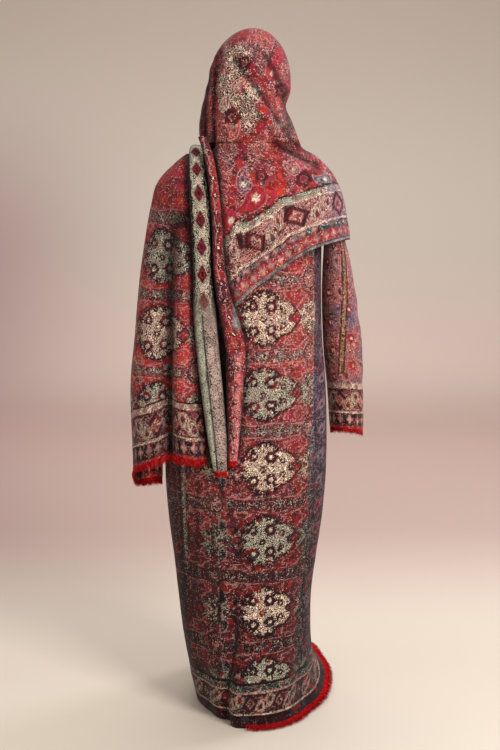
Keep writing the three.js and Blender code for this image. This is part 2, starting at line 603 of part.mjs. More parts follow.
// More columns near the crease behind than at its sides.
const backAcross = [
  ...evenly(-90 + sideGap, -42, 6),
  ...evenly(-42, 15, 15).slice(1),
  ...evenly(15, 90 - sideGap, 9).slice(1),
];
const frontAcross = evenly(-90 + sideGap, 90 - sideGap, 24);
const panelRows = [...robeRows, ...shoulderRows];
const backPanel = (u, v) => robePanel(-1, u, v);
const frontPanel = (u, v) => robePanel(1, u, v);
piece("robe_back", clothWall(backPanel, backAcross, panelRows), "robe");
piece("robe_front", clothWall(frontPanel, frontAcross, panelRows, { facing: -1 }), "robe");

const sleeveRound = evenly(0, 2, 14);
const sleeveRows = [0, 0.04, 0.1, 0.16, 0.22, 0.3, 0.39, 0.48, 0.57, 0.66, 0.76, 0.88, 1];
const rightSleeve = (u, v) => sleeve(1, RIGHT_SLEEVE, u, v);
const leftSleeve = (u, v) => sleeve(-1, LEFT_SLEEVE, u, v);
piece("sleeve_right", clothWall(rightSleeve, sleeveRound, sleeveRows, { round: true }), "robe");
piece("sleeve_left", clothWall(leftSleeve, sleeveRound, sleeveRows, { round: true, facing: -1 }), "robe");

// The hood's grid keeps a square of cells open, which roundFace() makes oval.
const HOOD_COLUMNS = 36;
const faceTop = hoodShare(FACE.high);
const faceBottom = hoodShare(FACE.low);
const hoodRows = [
  ...evenly(0, faceTop, 4),
  ...evenly(faceTop, faceBottom, 5).slice(1),
  ...evenly(faceBottom, 1, 3).slice(1),
];
const hoodTurn = evenly(FACE.angle - FACE.halfAngle, FACE.angle - FACE.halfAngle + 360, HOOD_COLUMNS);
const faceColumns = Math.round((2 * FACE.halfAngle) / (360 / HOOD_COLUMNS));
const inFace = (i, j) => i < faceColumns && j >= 4 && j < 9;
const hoodSurface = (u, v) => {
  const angle = u > FACE.angle + 180 ? u - 360 : u;
  return hood(...roundFace(angle, v));
};
piece(
  "shawl_hood",
  clothWall(hoodSurface, hoodTurn, hoodRows, { round: true, pole: true, facing: -1, skip: inFace }),
  "shawl",
);

const shoulderAcross = evenly(0, 1, 30);
const shawlRows = evenly(0, 1, 11);
piece("shawl_shoulder", clothWall(shawlShoulder, shoulderAcross, shawlRows, { facing: -1 }), "shawl");

// More columns at the deep fold than round the arm.
const fallAcross = [
  ...[0, 0.03, 0.06, 0.09, 0.13, 0.17, 0.205, 0.235, 0.265, 0.295, 0.33],
  ...[0.37, 0.42, 0.48, 0.55, 0.62, 0.7, 0.78, 0.86, 0.93, 1],
];
const fallRows = [0, 0.07, 0.16, 0.26, 0.36, 0.47, 0.58, 0.68, 0.75, 0.81, 0.86, 0.9, 0.94, 0.97, 1];
piece("shawl_arm_fall", clothWall(armFall, fallAcross, fallRows, { facing: -1 }), "shawl");

const borderPleat = (u, k) => pleat(BORDER_PLEAT, u, k);
const edgePleat = (u, k) => pleat(EDGE_PLEAT, u, k);
const pleatAcross = evenly(-1, 1, 6);
piece("shawl_border_pleat", clothWall(borderPleat, pleatAcross, evenly(0, 11, 22)), "shawl");
piece("shawl_edge_pleat", clothWall(edgePleat, pleatAcross, evenly(0, 10, 20)), "shawl");

// Fringes. The hem's lies outside the wall and spreads on the floor, from the back's middle round the right.
const HEM_FRINGE = { from: -9, to: 236, height: 8, length: 16, fall: 5.5 };
const hemEdge = (s) => {
  const angle = mix(HEM_FRINGE.from, HEM_FRINGE.to, s);
  const wall = robeTube(angle, HEM_FRINGE.height);
  const outward = normalOf(robeTube, angle, HEM_FRINGE.height, 0.1, 0.5, 1);
  outward.z = 0;
  outward.normalize();
  const point = wall.addScaledVector(outward, CLOTH + 1.7);
  const hang = outward.clone().multiplyScalar(HEM_FRINGE.length);
  hang.z -= HEM_FRINGE.fall;
  return { point, normal: new THREE.Vector3(0, 0, 1), hang: hang.normalize() };
};
piece("fringe_hem", fringe(hemEdge, 104, { length: HEM_FRINGE.length }), "fringe");
const cuff = { round: true, gap: 1.3 };
piece("fringe_cuff_right", fringe(edgeAlong(rightSleeve, sleeveRound, 1, 0.01, 1), 26, cuff), "fringe");
piece("fringe_cuff_left", fringe(edgeAlong(leftSleeve, sleeveRound, 1, 0.01, -1), 24, cuff), "fringe");
piece("fringe_arm_fall", fringe(edgeAlong(armFall, fallAcross, 0, -0.003, -1), 44), "fringe");
piece("fringe_border_pleat", fringe(edgeAlong(borderPleat, pleatAcross, 11, 0.05, 1), 7), "fringe");
piece("fringe_edge_pleat", fringe(edgeAlong(edgePleat, pleatAcross, 10, 0.05, 1), 6), "fringe");

export default root;
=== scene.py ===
"""Looks of a floor-length abaya and its head shawl, both of red figured shawl cloth with red frayed ends.

Every cloth is a thin shell worked out with numpy on the form that its CAD solid has. The woven figure is
composed on the flat cloth in millimetres as two dyes (ground and figure yarn), the share of figure yarn, and
the distance to the nearest drawn line, and the material weaves these into scrolls and twill.
"""

import functools
import math

import bpy
import numpy as np
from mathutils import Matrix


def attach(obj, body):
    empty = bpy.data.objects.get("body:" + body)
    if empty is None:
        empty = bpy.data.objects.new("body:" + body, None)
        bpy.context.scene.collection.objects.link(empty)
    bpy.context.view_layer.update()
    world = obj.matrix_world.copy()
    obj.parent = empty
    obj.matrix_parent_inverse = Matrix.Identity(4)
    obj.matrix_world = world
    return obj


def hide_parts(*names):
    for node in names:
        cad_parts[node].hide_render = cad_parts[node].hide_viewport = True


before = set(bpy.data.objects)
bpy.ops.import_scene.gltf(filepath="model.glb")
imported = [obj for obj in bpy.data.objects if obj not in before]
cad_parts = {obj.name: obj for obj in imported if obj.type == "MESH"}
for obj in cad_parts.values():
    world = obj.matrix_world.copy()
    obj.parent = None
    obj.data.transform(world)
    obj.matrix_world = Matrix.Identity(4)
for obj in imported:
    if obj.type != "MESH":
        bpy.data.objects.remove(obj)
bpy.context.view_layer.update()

HOLD_HEIGHT = 1390.0  # mm from the floor to the row's origin at the base of the neckline
CLOTH = 1.8  # mm, the wall of the CAD solids
SHELL = 1.3  # mm, every cloth as drawn here
FAR = 60.0  # mm, a distance that no line is drawn at


def columns(names, rows):
    """A table of named columns from rows of numbers."""
    table = np.array(rows, float)
    return {name: table[:, k] for k, name in enumerate(names.split())}


# Forms: the same named sizes as in the part's source, in millimetres above the floor
ROBE_RINGS = columns(
    "z left right seam back front",
    [
        (0, -140, 172, 100, -153, 335),
        (60, -150, 158, 60, -158, 290),
        (140, -160, 152, 20, -160, 240),
        (200, -168, 150, 5, -160, 215),
        (300, -178, 152, -5, -158, 185),
        (400, -188, 163, -10, -156, 165),
        (500, -200, 177, -10, -156, 155),
        (620, -207, 186, -10, -156, 150),
        (750, -200, 186, -8, -152, 145),
        (850, -190, 182, -8, -147, 140),
        (950, -178, 173, -8, -142, 136),
        (1080, -169, 169.5, -8, -135, 130),
        (1200, -170, 170, -8, -130, 126),
    ],
)
ARMPIT = 1200.0
SHOULDER_RISE = 190.0  # mm of cloth from the armpit's height up to the shoulder seam
SHOULDER = {"neck_half": 75, "neck_z": 1394, "tip_x": 160, "tip_z": 1371.5, "armpit_curve": 0.22}
NECKLINE = {"back": 55, "front": 70, "back_drop": 8, "front_drop": 55}
ROBE_FOLDS = [  # hem angle, top angle, low, high, depth, width in degrees
    (-48, -50, -80, 760, -8, 7),
    (52, 62, -80, 820, -7, 7),
    (118, 122, -80, 980, -14, 9),
    (150, 156, -80, 1050, 12, 10),
    (186, 182, -80, 1100, -15, 9),
    (214, 208, -80, 1050, 12, 10),
    (246, 240, -80, 980, -14, 9),
]
BACK_CREASE = columns(
    "z angle depth",
    [
        (-80, -33, -19),
        (28, -27, -18),
        (130, -18, -15),
        (240, -8.5, -11),
        (330, -4.5, -8),
        (505, -6.5, -8),
        (620, -18, -7),
        (740, -26, 0),
        (900, -30, 0),
    ],
)
CREASE = {"width": 4.6, "ridge": 0.55, "ridge_away": 10, "ridge_width": 7}
HEM_FLARES = [(92, 30, 26, 70), (128, 18, 34, 80)]  # angle, width, reach, height
HEM_LIFT = {"angle": 142, "width": 40, "height": 40}

SLEEVE_NAMES = "w in_x in_z out_x out_z y depth rise"
RIGHT_SLEEVE = columns(
    SLEEVE_NAMES,
    [
        (0, 170, 1200, 160, 1371, -8, 46, 0),
        (0.08, 177, 1190, 188, 1330, -7, 50, 0),
        (0.16, 177, 1178, 206, 1282, -6, 54, 0),
        (0.26, 176, 1150, 220, 1225, -4, 58, 0),
        (0.38, 174, 1100, 240, 1130, 0, 61, 0),
        (0.5, 174, 1035, 257, 1045, 8, 63, 0),
        (0.65, 180, 920, 274, 930, 35, 65, 4),
        (0.8, 193, 805, 283, 808, 75, 67, 8),
        (1, 203, 697, 289, 690, 118, 68, 12),
    ],
)
LEFT_SLEEVE = columns(
    SLEEVE_NAMES,
    [
        (0, -170, 1200, -160, 1371, -8, 46, 0),
        (0.08, -178, 1190, -188, 1330, -7, 49, 0),
        (0.16, -180, 1178, -206, 1282, -6, 51, 0),
        (0.26, -181, 1150, -226, 1220, -4, 53, 0),
        (0.38, -183, 1095, -246, 1125, -3, 54, 0),
        (0.5, -187, 1020, -256, 1035, -4, 55, 0),
        (0.65, -201, 895, -266, 900, -5, 55, 4),
        (0.8, -212, 765, -269, 765, -6, 55, 10),
        (1, -216, 597, -268, 591, -8, 54, 16),
    ],
)
SLEEVE_BLEND = 0.2
SEAM_GAP = 0.4

SHAWL_RINGS = columns(
    "z left right back front power",
    [
        (1000, -262, 250, -172, 144, 2.2),
        (1100, -256, 247, -169, 142, 2.2),
        (1180, -250, 239, -165, 139, 2.2),
        (1215, -243, 235, -161, 136, 2.2),
        (1270, -231, 223, -153, 130, 2.1),
        (1310, -220, 211, -145, 124, 2),
        (1340, -200, 196, -136, 118, 1.85),
        (1365, -171, 173, -126, 111, 1.75),
        (1385, -145, 148, -117, 105, 1.75),
        (1398, -127, 126, -111, 100, 1.85),
        (1412, -117, 116, -108, 96, 2),
        (1435, -118, 107, -106, 94, 2),
        (1462, -118, 97, -107, 95, 2),
        (1495, -112, 84, -110, 99, 2),
        (1530, -104, 93, -112, 106, 2),
        (1555, -99, 93, -112, 108, 2),
        (1675, -96, 88, -108, 104, 2),
    ],
)
RING_CENTRE_Y = -8.0
HEAD = {"middle_z": 1550.0, "half_height": 122.0}
NECK_Z = 1412.0
NECK_GAP = 1.0
SHAWL_EDGE = columns(
    "angle z",
    [
        (225, 1010),
        (249, 1020),
        (262, 1052),
        (270, 1076),
        (282, 1102),
        (296, 1130),
        (308, 1156),
        (323, 1178),
        (345, 1190),
        (360, 1184),
        (395, 1165),
        (430, 1142),
        (460, 1140),
        (520, 1185),
    ],
)
SHAWL_SPAN = columns(
    "z start end",
    [
        (1000, 257, 505),
        (1040, 255.5, 505),
        (1130, 249.5, 506),
        (1250, 244, 508),
        (1330, 238.5, 510),
        (1370, 229, 513),
        (1398, 218.5, 516),
        (1412, 214.5, 517),
    ],
)
FRONT_TUCK = {"from": 0.86, "to": 0.93, "depth": 6}
SHAWL_FOLDS = [  # depth, width, line of x and z
    (-13, 5, [(-74, 1617), (-79, 1570), (-86, 1518), (-87, 1462), (-86, 1405)]),
    (-10, 4.5, [(-102, 1532), (-105, 1490), (-104, 1440), (-102, 1405)]),
    (6, 10, [(-31, 1628), (-12, 1600), (10, 1572), (28, 1549), (42, 1520)]),
    (-7, 6, [(-40, 1600), (-12, 1580), (12, 1556), (33, 1538), (44, 1510), (45, 1488)]),
    (10, 12, [(-20, 1532), (14, 1484), (46, 1448), (92, 1414), (146, 1386)]),
    (-13, 8, [(28, 1418), (60, 1404), (94, 1395), (128, 1380), (158, 1362)]),
    (-7, 7, [(50, 1392), (94, 1378), (130, 1366)]),
]
FACE = {"angle": 57, "half_angle": 40, "low": 1476, "high": 1626, "rounding": 0.3, "fade": 0.8}

ARM_FALL = columns(
    "z left middle centre_y half power start end valley depth",
    [
        (575, -281, -163, -42, 122, 2.6, 303, 118, 252, 46),
        (700, -284, -163, -41, 124, 2.6, 299, 118, 252, 46),
        (850, -285, -158, -36, 127, 2.6, 290, 120, 250, 42),
        (955, -275, -135, -28, 133, 2.5, 276, 126, 242, 34),
        (1036, -268, -108, -20, 141, 2.4, 264, 131, 233, 25),
        (1130, -258, -60, -12, 149, 2.3, 247, 138, 222, 14),
        (1215, -243, -20, -8, 153, 2.2, 231, 143, 218, 6),
        (1270, -231, 0, -8, 147, 2.1, 223, 146, 215, 1),
        (1310, -221, 0, -8, 139, 2, 219, 149, 213, 0),
        (1340, -201, 0, -8, 130, 1.85, 213, 153, 210, 0),
        (1366, -173.4, 0, -8, 121, 1.75, 203, 157, 200, 0),
        (1384, -149.5, 0, -8, 115, 1.75, 190, 162, 190, 0),
    ],
)
VALLEY_WIDTH = 8.0
FALL_TOP = 1384.0
FALL_HEM = columns(
    "u z", [(0, 676), (0.25, 684), (0.36, 668), (0.55, 640), (0.66, 614), (0.8, 584), (1, 578)]
)
TUCK = {"depth": 11, "flat": 6, "ramp": 7}

PLEAT_NAMES = "n x y z half crest"
BORDER_PLEAT = columns(
    PLEAT_NAMES,
    [
        (0, -126, 24, 1392, 14, 5),
        (1, -126, -14, 1400, 15, 7),
        (2, -126, -58, 1385, 16, 9),
        (3, -122, -106, 1340, 20, 13),
        (4, -115, -134, 1270, 23, 16),
        (5, -111, -149, 1190, 22, 17),
        (6, -109, -155, 1110, 22, 18),
        (7, -105, -158, 1035, 26, 19),
        (8, -97, -162, 930, 27, 20),
        (9, -87, -164, 830, 26, 20),
        (10, -76, -165, 725, 23, 19),
        (11, -70, -165, 655, 17, 16),
    ],
)
EDGE_PLEAT = columns(
    PLEAT_NAMES,
    [
        (0, -110, -76, 1424, 10, 5),
        (1, -97, -100, 1388, 11, 8),
        (2, -84, -142, 1325, 11, 11),
        (3, -76, -157, 1240, 12, 12),
        (4, -70, -170, 1130, 14, 13),
        (5, -60, -175, 1065, 17, 14),
        (6, -43, -176, 1000, 22, 15),
        (7, -33, -175, 935, 23, 15),
        (8, -35, -172, 850, 20, 16),
        (9, -37, -170, 760, 16, 15),
        (10, -41, -169, 680, 12, 13),
    ],
)


def smooth(t):
    """3t^2 - 2t^3 with t held between 0 and 1."""
    c = np.clip(t, 0, 1)
    return c * c * (3 - 2 * c)


def mix(a, b, t):
    """a (1 - t) + b t."""
    return a + (b - a) * t


def bump(distance, width):
    """The bell curve exp(-d^2 / 2w^2)."""
    return np.exp(-0.5 * (distance / width) ** 2)


def read_table(table, key, value):
    """Every column at an array of key values, by a cubic whose slope at a row is its neighbours'."""
    value = np.asarray(value, float)
    keys = table[key]
    last = len(keys) - 1
    i = np.clip(np.searchsorted(keys, value) - 1, 0, last - 1)
    before, after = np.maximum(i - 1, 0), np.minimum(i + 2, last)
    span = keys[i + 1] - keys[i]
    t = (value - keys[i]) / span
    read = {}
    for name, column in table.items():
        start = (column[i + 1] - column[before]) / (keys[i + 1] - keys[before]) * span
        end = (column[after] - column[i]) / (keys[after] - keys[i]) * span
        cubic = (
            (2 * t**3 - 3 * t**2 + 1) * column[i]
            + (t**3 - 2 * t**2 + t) * start
            + (3 * t**2 - 2 * t**3) * column[i + 1]
            + (t**3 - t**2) * end
        )
        past = np.where(t > 1, column[i + 1] + end * (t - 1), cubic)
        read[name] = np.where(t < 0, column[i] + start * t, past)
    return read


def reach(angle, along_x, along_y, power):
    """How far the ring |x/a|^p + |y/b|^p = 1 lies from its centre in one direction."""
    x_share = (np.abs(np.cos(angle)) / along_x) ** power
    y_share = (np.abs(np.sin(angle)) / along_y) ** power
    return (x_share + y_share) ** (-1 / power)


def turned(angle, centre):
    """An angle from a centre, brought between -180 and 180 degrees."""
    return (angle - centre + 540) % 360 - 180


def robe_tube(angle, z):
    """An egg-shaped ring at each height, moved outward by bell-shaped folds that fade towards their top."""
    ring = read_table(ROBE_RINGS, "z", z)
    a = np.radians(angle)
    half = (ring["right"] - ring["left"]) / 2
    deep = np.where(np.cos(a) > 0, ring["seam"] - ring["back"], ring["front"] - ring["seam"])
    out_x, out_y = np.sin(a) / half, -np.cos(a) / deep
    size = np.hypot(out_x, out_y)
    fold = 0
    for centre, width, out, height in HEM_FLARES:
        fold = fold + out * bump(turned(angle, centre), width) * np.exp(-np.maximum(0, z) / height)
    for hem_angle, top_angle, low, high, depth, width in ROBE_FOLDS:
        centre = mix(hem_angle, top_angle, z / high)
        fold = fold + depth * (1 - smooth((z - low) / (high - low))) * bump(turned(angle, centre), width)
    crease = read_table(BACK_CREASE, "z", z)
    beside = turned(angle, crease["angle"])
    ridge = CREASE["ridge"] * bump(beside - CREASE["ridge_away"], CREASE["ridge_width"])
    fold = fold + crease["depth"] * (bump(beside, CREASE["width"]) - ridge)
    lift = HEM_LIFT["height"] * bump(turned(angle, HEM_LIFT["angle"]), HEM_LIFT["width"]) * np.exp(-z / 200)
    x = (ring["left"] + ring["right"]) / 2 + half * np.sin(a) + fold * out_x / size
    y = ring["seam"] - deep * np.cos(a) + fold * out_y / size
    return np.stack([x, y, z + lift], -1)


def robe_shoulder(side, across, rise):
    """A quarter ellipse from the armpit ring up to the shoulder seam and neckline."""
    t = np.clip(rise, 0, 1)
    ring = read_table(ROBE_RINGS, "z", ARMPIT)
    base_y = robe_tube(0.0 if side < 0 else 180.0, np.float64(ARMPIT))[1]
    narrow = np.maximum(0, 1 - t / SHOULDER["armpit_curve"]) ** 2
    edge = mix(SHOULDER["tip_x"], ring["right"], narrow)
    spread = mix(1, 0.6, np.sqrt(np.minimum(1, t / SHOULDER["armpit_curve"])))
    x = edge * np.sin(np.radians(across * spread)) / np.sin(np.radians(90 * spread))
    deep = (base_y - ring["seam"]) * np.sqrt(np.maximum(0, 1 - (x / ring["right"]) ** 2))
    neck = np.sqrt(1 - np.minimum(1, np.abs(x) / SHOULDER["neck_half"]) ** 2)
    slope = (SHOULDER["tip_z"] - SHOULDER["neck_z"]) / (SHOULDER["tip_x"] - SHOULDER["neck_half"])
    drop, open_y = (
        (NECKLINE["back_drop"], NECKLINE["back"]) if side < 0 else (NECKLINE["front_drop"], NECKLINE["front"])
    )
    end_z = SHOULDER["neck_z"] + slope * np.maximum(0, np.abs(x) - SHOULDER["neck_half"]) - drop * neck
    end_y = side * (SEAM_GAP / 2 + open_y * neck)
    turn = t * np.pi / 2
    y = ring["seam"] + end_y + (deep - end_y) * np.cos(turn)
    return np.stack([x, y, ARMPIT + (end_z - ARMPIT) * np.sin(turn)], -1)


def robe_panel(side, across, v):
    """v runs 0 to 1 up the tube and 1 to 2 over the shoulder."""
    tube = robe_tube(across if side < 0 else 180 - across, np.minimum(v, 1) * ARMPIT)
    return np.where((v > 1)[..., None], robe_shoulder(side, across, v - 1), tube)


def sleeve(hand, rows, around, w):
    """Rings of half-cosine breadth and sine depth, blended from the armhole's outline to the cuff."""
    ring = read_table(rows, "w", w)
    turn = around * np.pi
    share = (1 - np.cos(turn)) / 2
    plain = np.stack(
        [
            mix(ring["in_x"], ring["out_x"], share),
            ring["y"] - ring["depth"] * np.sin(turn),
            mix(ring["in_z"], ring["out_z"], share) + ring["rise"] * np.sin(turn),
        ],
        -1,
    )
    round_two = around % 2
    back = robe_shoulder(-1, 90.0 * hand, np.where(round_two < 1, round_two, 0))
    front = robe_shoulder(1, 90.0 * hand, np.where(round_two < 1, 0, 2 - round_two))
    start = np.where((round_two < 1)[..., None], back, front)
    start[..., 0] += hand * (SEAM_GAP + CLOTH * (1.5 + 0.5 * np.cos(turn)))
    return mix(start, plain, smooth(w / SLEEVE_BLEND)[..., None])


def shawl_fold(x, z):
    """Each fold is a bell curve of the distance to its line."""
    out = np.zeros_like(x)
    for depth, width, line in SHAWL_FOLDS:
        nearest = np.full_like(x, np.inf)
        for (x0, z0), (x1, z1) in zip(line, line[1:]):
            along = ((x - x0) * (x1 - x0) + (z - z0) * (z1 - z0)) / ((x1 - x0) ** 2 + (z1 - z0) ** 2)
            t = np.clip(along, 0, 1)
            nearest = np.minimum(nearest, np.hypot(x - mix(x0, x1, t), z - mix(z0, z1, t)))
        out = out + depth * bump(nearest, width)
    return out


def shawl_ring(angle, z, tuck=0.0):
    """Superellipse rings that close at the crown as a dome, with the folds pushed in or out behind."""
    ring = read_table(SHAWL_RINGS, "z", z)
    a = np.radians(angle)
    above = np.clip((z - HEAD["middle_z"]) / HEAD["half_height"], 0, 1)
    dome = np.sqrt(np.maximum(0, 1 - above**2))
    wide = np.where(np.cos(a) > 0, ring["right"], -ring["left"])
    deep = np.where(np.sin(a) > 0, ring["front"] - RING_CENTRE_Y, RING_CENTRE_Y - ring["back"])
    out = reach(a, wide, deep, ring["power"]) * dome
    behind = smooth(-np.sin(a) * 3 - 0.2) * np.minimum(1, dome * 2)
    out = out + shawl_fold(out * np.cos(a), z + 0 * a) * behind - tuck
    return np.stack([out * np.cos(a) + 8 * above, RING_CENTRE_Y + out * np.sin(a), z + 0 * a], -1)


CROWN_SHARE = 0.5
DOME_TURN = np.radians(84)
DOME_LOW = HEAD["middle_z"] + HEAD["half_height"] * np.cos(DOME_TURN)


def hood(angle, v):
    """v is 0 at the crown and 1 at the neck: even steps of polar angle, then even steps of height."""
    polar = HEAD["middle_z"] + HEAD["half_height"] * np.cos(DOME_TURN * np.maximum(0, v / CROWN_SHARE))
    lower = mix(DOME_LOW, NECK_Z, (v - CROWN_SHARE) / (1 - CROWN_SHARE))
    return shawl_ring(angle, np.where(v < CROWN_SHARE, polar, lower))


def hood_share(z):
    """The v of hood() at a height."""
    if z > DOME_LOW:
        return CROWN_SHARE * math.acos((z - HEAD["middle_z"]) / HEAD["half_height"]) / DOME_TURN
    return CROWN_SHARE + (DOME_LOW - z) / (DOME_LOW - NECK_Z) * (1 - CROWN_SHARE)


def round_face(angle, v):
    """Pulls the corners of the square hole in the hood's grid in, towards an oval."""
    top, bottom = hood_share(FACE["high"]), hood_share(FACE["low"])
    p = (angle - FACE["angle"]) / FACE["half_angle"]
    q = (v - (top + bottom) / 2) / ((bottom - top) / 2)
    square = np.maximum(np.maximum(np.abs(p), np.abs(q)), 1e-6)
    corner = (p / square * q / square) ** 2
    pull = 1 - FACE["rounding"] * corner * np.clip((1 + FACE["fade"] - square) / FACE["fade"], 0, 1)
    return FACE["angle"] + p * pull * FACE["half_angle"], (top + bottom) / 2 + q * pull * (bottom - top) / 2


def hood_surface(u, v):
    """hood() with its front opening made oval."""
    return hood(*round_face(np.where(u > FACE["angle"] + 180, u - 360, u), v))


def shawl_shoulder(u, v):
    """Shawl rings between the neck and the slanting lower edge, from the pleats round to the front."""
    top = NECK_Z - NECK_GAP
    z = np.full(np.broadcast(u, v).shape, top)
    for _ in range(3):
        span = read_table(SHAWL_SPAN, "z", z)
        angle = mix(span["start"], span["end"], u)
        edge = read_table(SHAWL_EDGE, "angle", angle)["z"]
        z = top - (NECK_Z - edge) * np.sign(v) * np.abs(v) ** 1.4
    tuck = FRONT_TUCK["depth"] * smooth((u - FRONT_TUCK["from"]) / (FRONT_TUCK["to"] - FRONT_TUCK["from"]))
    return shawl_ring(angle, z, tuck)


def arm_fall(u, v):
    """Open superellipse sections round the left sleeve, with a bell-shaped groove behind it."""
    z = mix(read_table(FALL_HEM, "u", u)["z"], FALL_TOP, v)
    ring = read_table(ARM_FALL, "z", z)
    angle = mix(ring["start"], ring["end"], u)
    a = np.radians(angle)
    groove = ring["depth"] * bump(angle - ring["valley"], VALLEY_WIDTH)
    tuck = TUCK["depth"] * smooth((TUCK["flat"] + TUCK["ramp"] - (ring["start"] - angle)) / TUCK["ramp"])
    out = reach(a, ring["middle"] - ring["left"], ring["half"], ring["power"]) - groove - tuck
    return np.stack([ring["middle"] + out * np.cos(a), ring["centre_y"] + out * np.sin(a), z], -1)


def pleat(rows, across, k):
    """A half round carried along a hanging path; across runs -1 to 1."""
    row, ahead, back = (read_table(rows, "n", k + step) for step in (0, 0.05, -0.05))
    along_y, along_z = ahead["y"] - back["y"], ahead["z"] - back["z"]
    size = np.hypot(along_y, along_z)
    turn = across * np.pi / 2
    rise = row["crest"] * np.cos(turn) / size
    x = row["x"] + row["half"] * np.sin(turn)
    return np.stack([x, row["y"] + rise * along_z, row["z"] - rise * along_y], -1)


# Colours of the cloth


def rgb(code):
    """An sRGB hex code as linear red, green and blue."""
    c = np.array([int(code[k : k + 2], 16) for k in (0, 2, 4)]) / 255
    return np.where(c <= 0.04045, c / 12.92, ((c + 0.055) / 1.055) ** 2.4)


DYES = {
    "crimson": "98202c",
    "scarlet": "b4242a",
    "rose": "b8425a",
    "maroon": "521420",
    "wine": "240c13",
    "aubergine": "341a2a",
    "violet": "583a58",
    "charcoal": "1b1416",
    "cream": "ecd0b8",
    "blush": "d2988f",
    "sage": "bfbba6",
    "grey": "948e8c",
    "mauve": "a2858a",
    "teal": "35575c",
    "ochre": "bf9a6c",
    "lilac": "8d7696",
    "pinkish": "b0958c",
}
DYE = {name: rgb(code) for name, code in DYES.items()}


def bolt(shape, ground, yarn, figure):
    """A blank length of cloth: its two dyes, the share of figure yarn, and no drawn lines."""
    return {
        "ground": np.broadcast_to(DYE[ground], (*shape, 3)).copy(),
        "yarn": np.broadcast_to(DYE[yarn], (*shape, 3)).copy(),
        "figure": np.full(shape, float(figure)),
        "light": np.full(shape, FAR),
        "dark": np.full(shape, FAR),
    }


def lay(cloth, inside, soft=1.6, clear=False, **values):
    """Lays dyes or a share of figure yarn where the signed distance `inside` is below 0, with a soft edge."""
    share = np.clip(0.5 - inside / (2 * soft), 0, 1)
    for name, value in values.items():
        value = DYE[value] if isinstance(value, str) else value
        weight = share[..., None] if name in ("ground", "yarn") else share
        cloth[name] += (value - cloth[name]) * weight
    if clear:
        for name in ("light", "dark"):
            cloth[name] = np.where(inside < 0, FAR, cloth[name])


def copied(cloth):
    """A second copy of a cloth, to draw on."""
    return {key: value.copy() for key, value in cloth.items()}


def take(cloth, other, where):
    """Takes the other cloth's values wherever `where` is true."""
    for key, value in cloth.items():
        cloth[key] = np.where(where[..., None] if value.ndim > where.ndim else where, other[key], value)


def rule(cloth, kind, distance):
    """Draws a light or dark line where a distance is 0."""
    cloth[kind] = np.minimum(cloth[kind], np.abs(distance))


def wrapped(x, period):
    """x brought to within half a period of 0."""
    return x - period * np.round(x / period)


def blob(x, y, rx, ry, lobes=0, depth=0.0, turn=0.0):
    """Signed distance to an ellipse whose rim waves as 1 + depth cos(lobes angle)."""
    rim = 1 + depth * np.cos(lobes * (np.arctan2(y / ry, x / rx) - turn))
    return (np.hypot(x / rx, y / ry) - rim) * min(rx, ry)


def diamond(x, y, rx, ry):
    """Signed distance to |x|/rx + |y|/ry = 1."""
    return (np.abs(x) / rx + np.abs(y) / ry - 1) * rx * ry / math.hypot(rx, ry)


def boteh(x, y, size, hook=1.0):
    """Signed distance to a leaf drop: circles that shrink along a path whose tip bends over."""
    best = np.full(np.shape(x), np.inf)
    for p in np.linspace(0, 1, 9):
        cx = hook * size * 0.62 * p**2.4
        cy = size * (-0.42 + 1.5 * p - 0.35 * p * p)
        best = np.minimum(best, np.hypot(x - cx, y - cy) - size * (0.5 * (1 - p) ** 0.8 + 0.02))
    return best


def turn_by(x, y, degrees):
    """x and y seen from axes that are turned by some degrees."""
    c, s = math.cos(math.radians(degrees)), math.sin(math.radians(degrees))
    return c * x + s * y, c * y - s * x


def draw_boteh(cloth, x, y, size, hook=1.0, body="crimson", rim="blush", seed_dye="cream"):
    """A boteh with a light rim, a filled body and a small flower in it."""
    d = boteh(x, y, size, hook)
    lay(cloth, d, ground=body, yarn=rim, figure=0.3, clear=True)
    rule(cloth, "light", d)
    rule(cloth, "light", d + 0.22 * size)
    flower = blob(x, y + 0.35 * size, 0.2 * size, 0.2 * size, 6, 0.25)
    lay(cloth, flower, ground=seed_dye, yarn=body, figure=0.25)


def draw_flower(cloth, x, y, size, petals=6, body="maroon", rim="cream", heart="cream"):
    """A round flower: a waved dark disc round a pale heart."""
    d = blob(x, y, size, size, petals, 0.12)
    away = np.hypot(x, y)
    lay(cloth, d, ground=body, yarn=rim, figure=0.12, clear=True)
    lay(cloth, away - 0.42 * size, soft=1.2, ground=body, yarn=heart, figure=0.85)


MEDALLION_FLOWERS = [  # x, y, size
    (-25, 29, 11),
    (17, 27, 14),
    (-24, -30, 13),
    (17, -27, 13),
    (-2, -2, 7),
    (46, 17, 7),
    (46, -17, 7),
    (70, 0, 10),
]


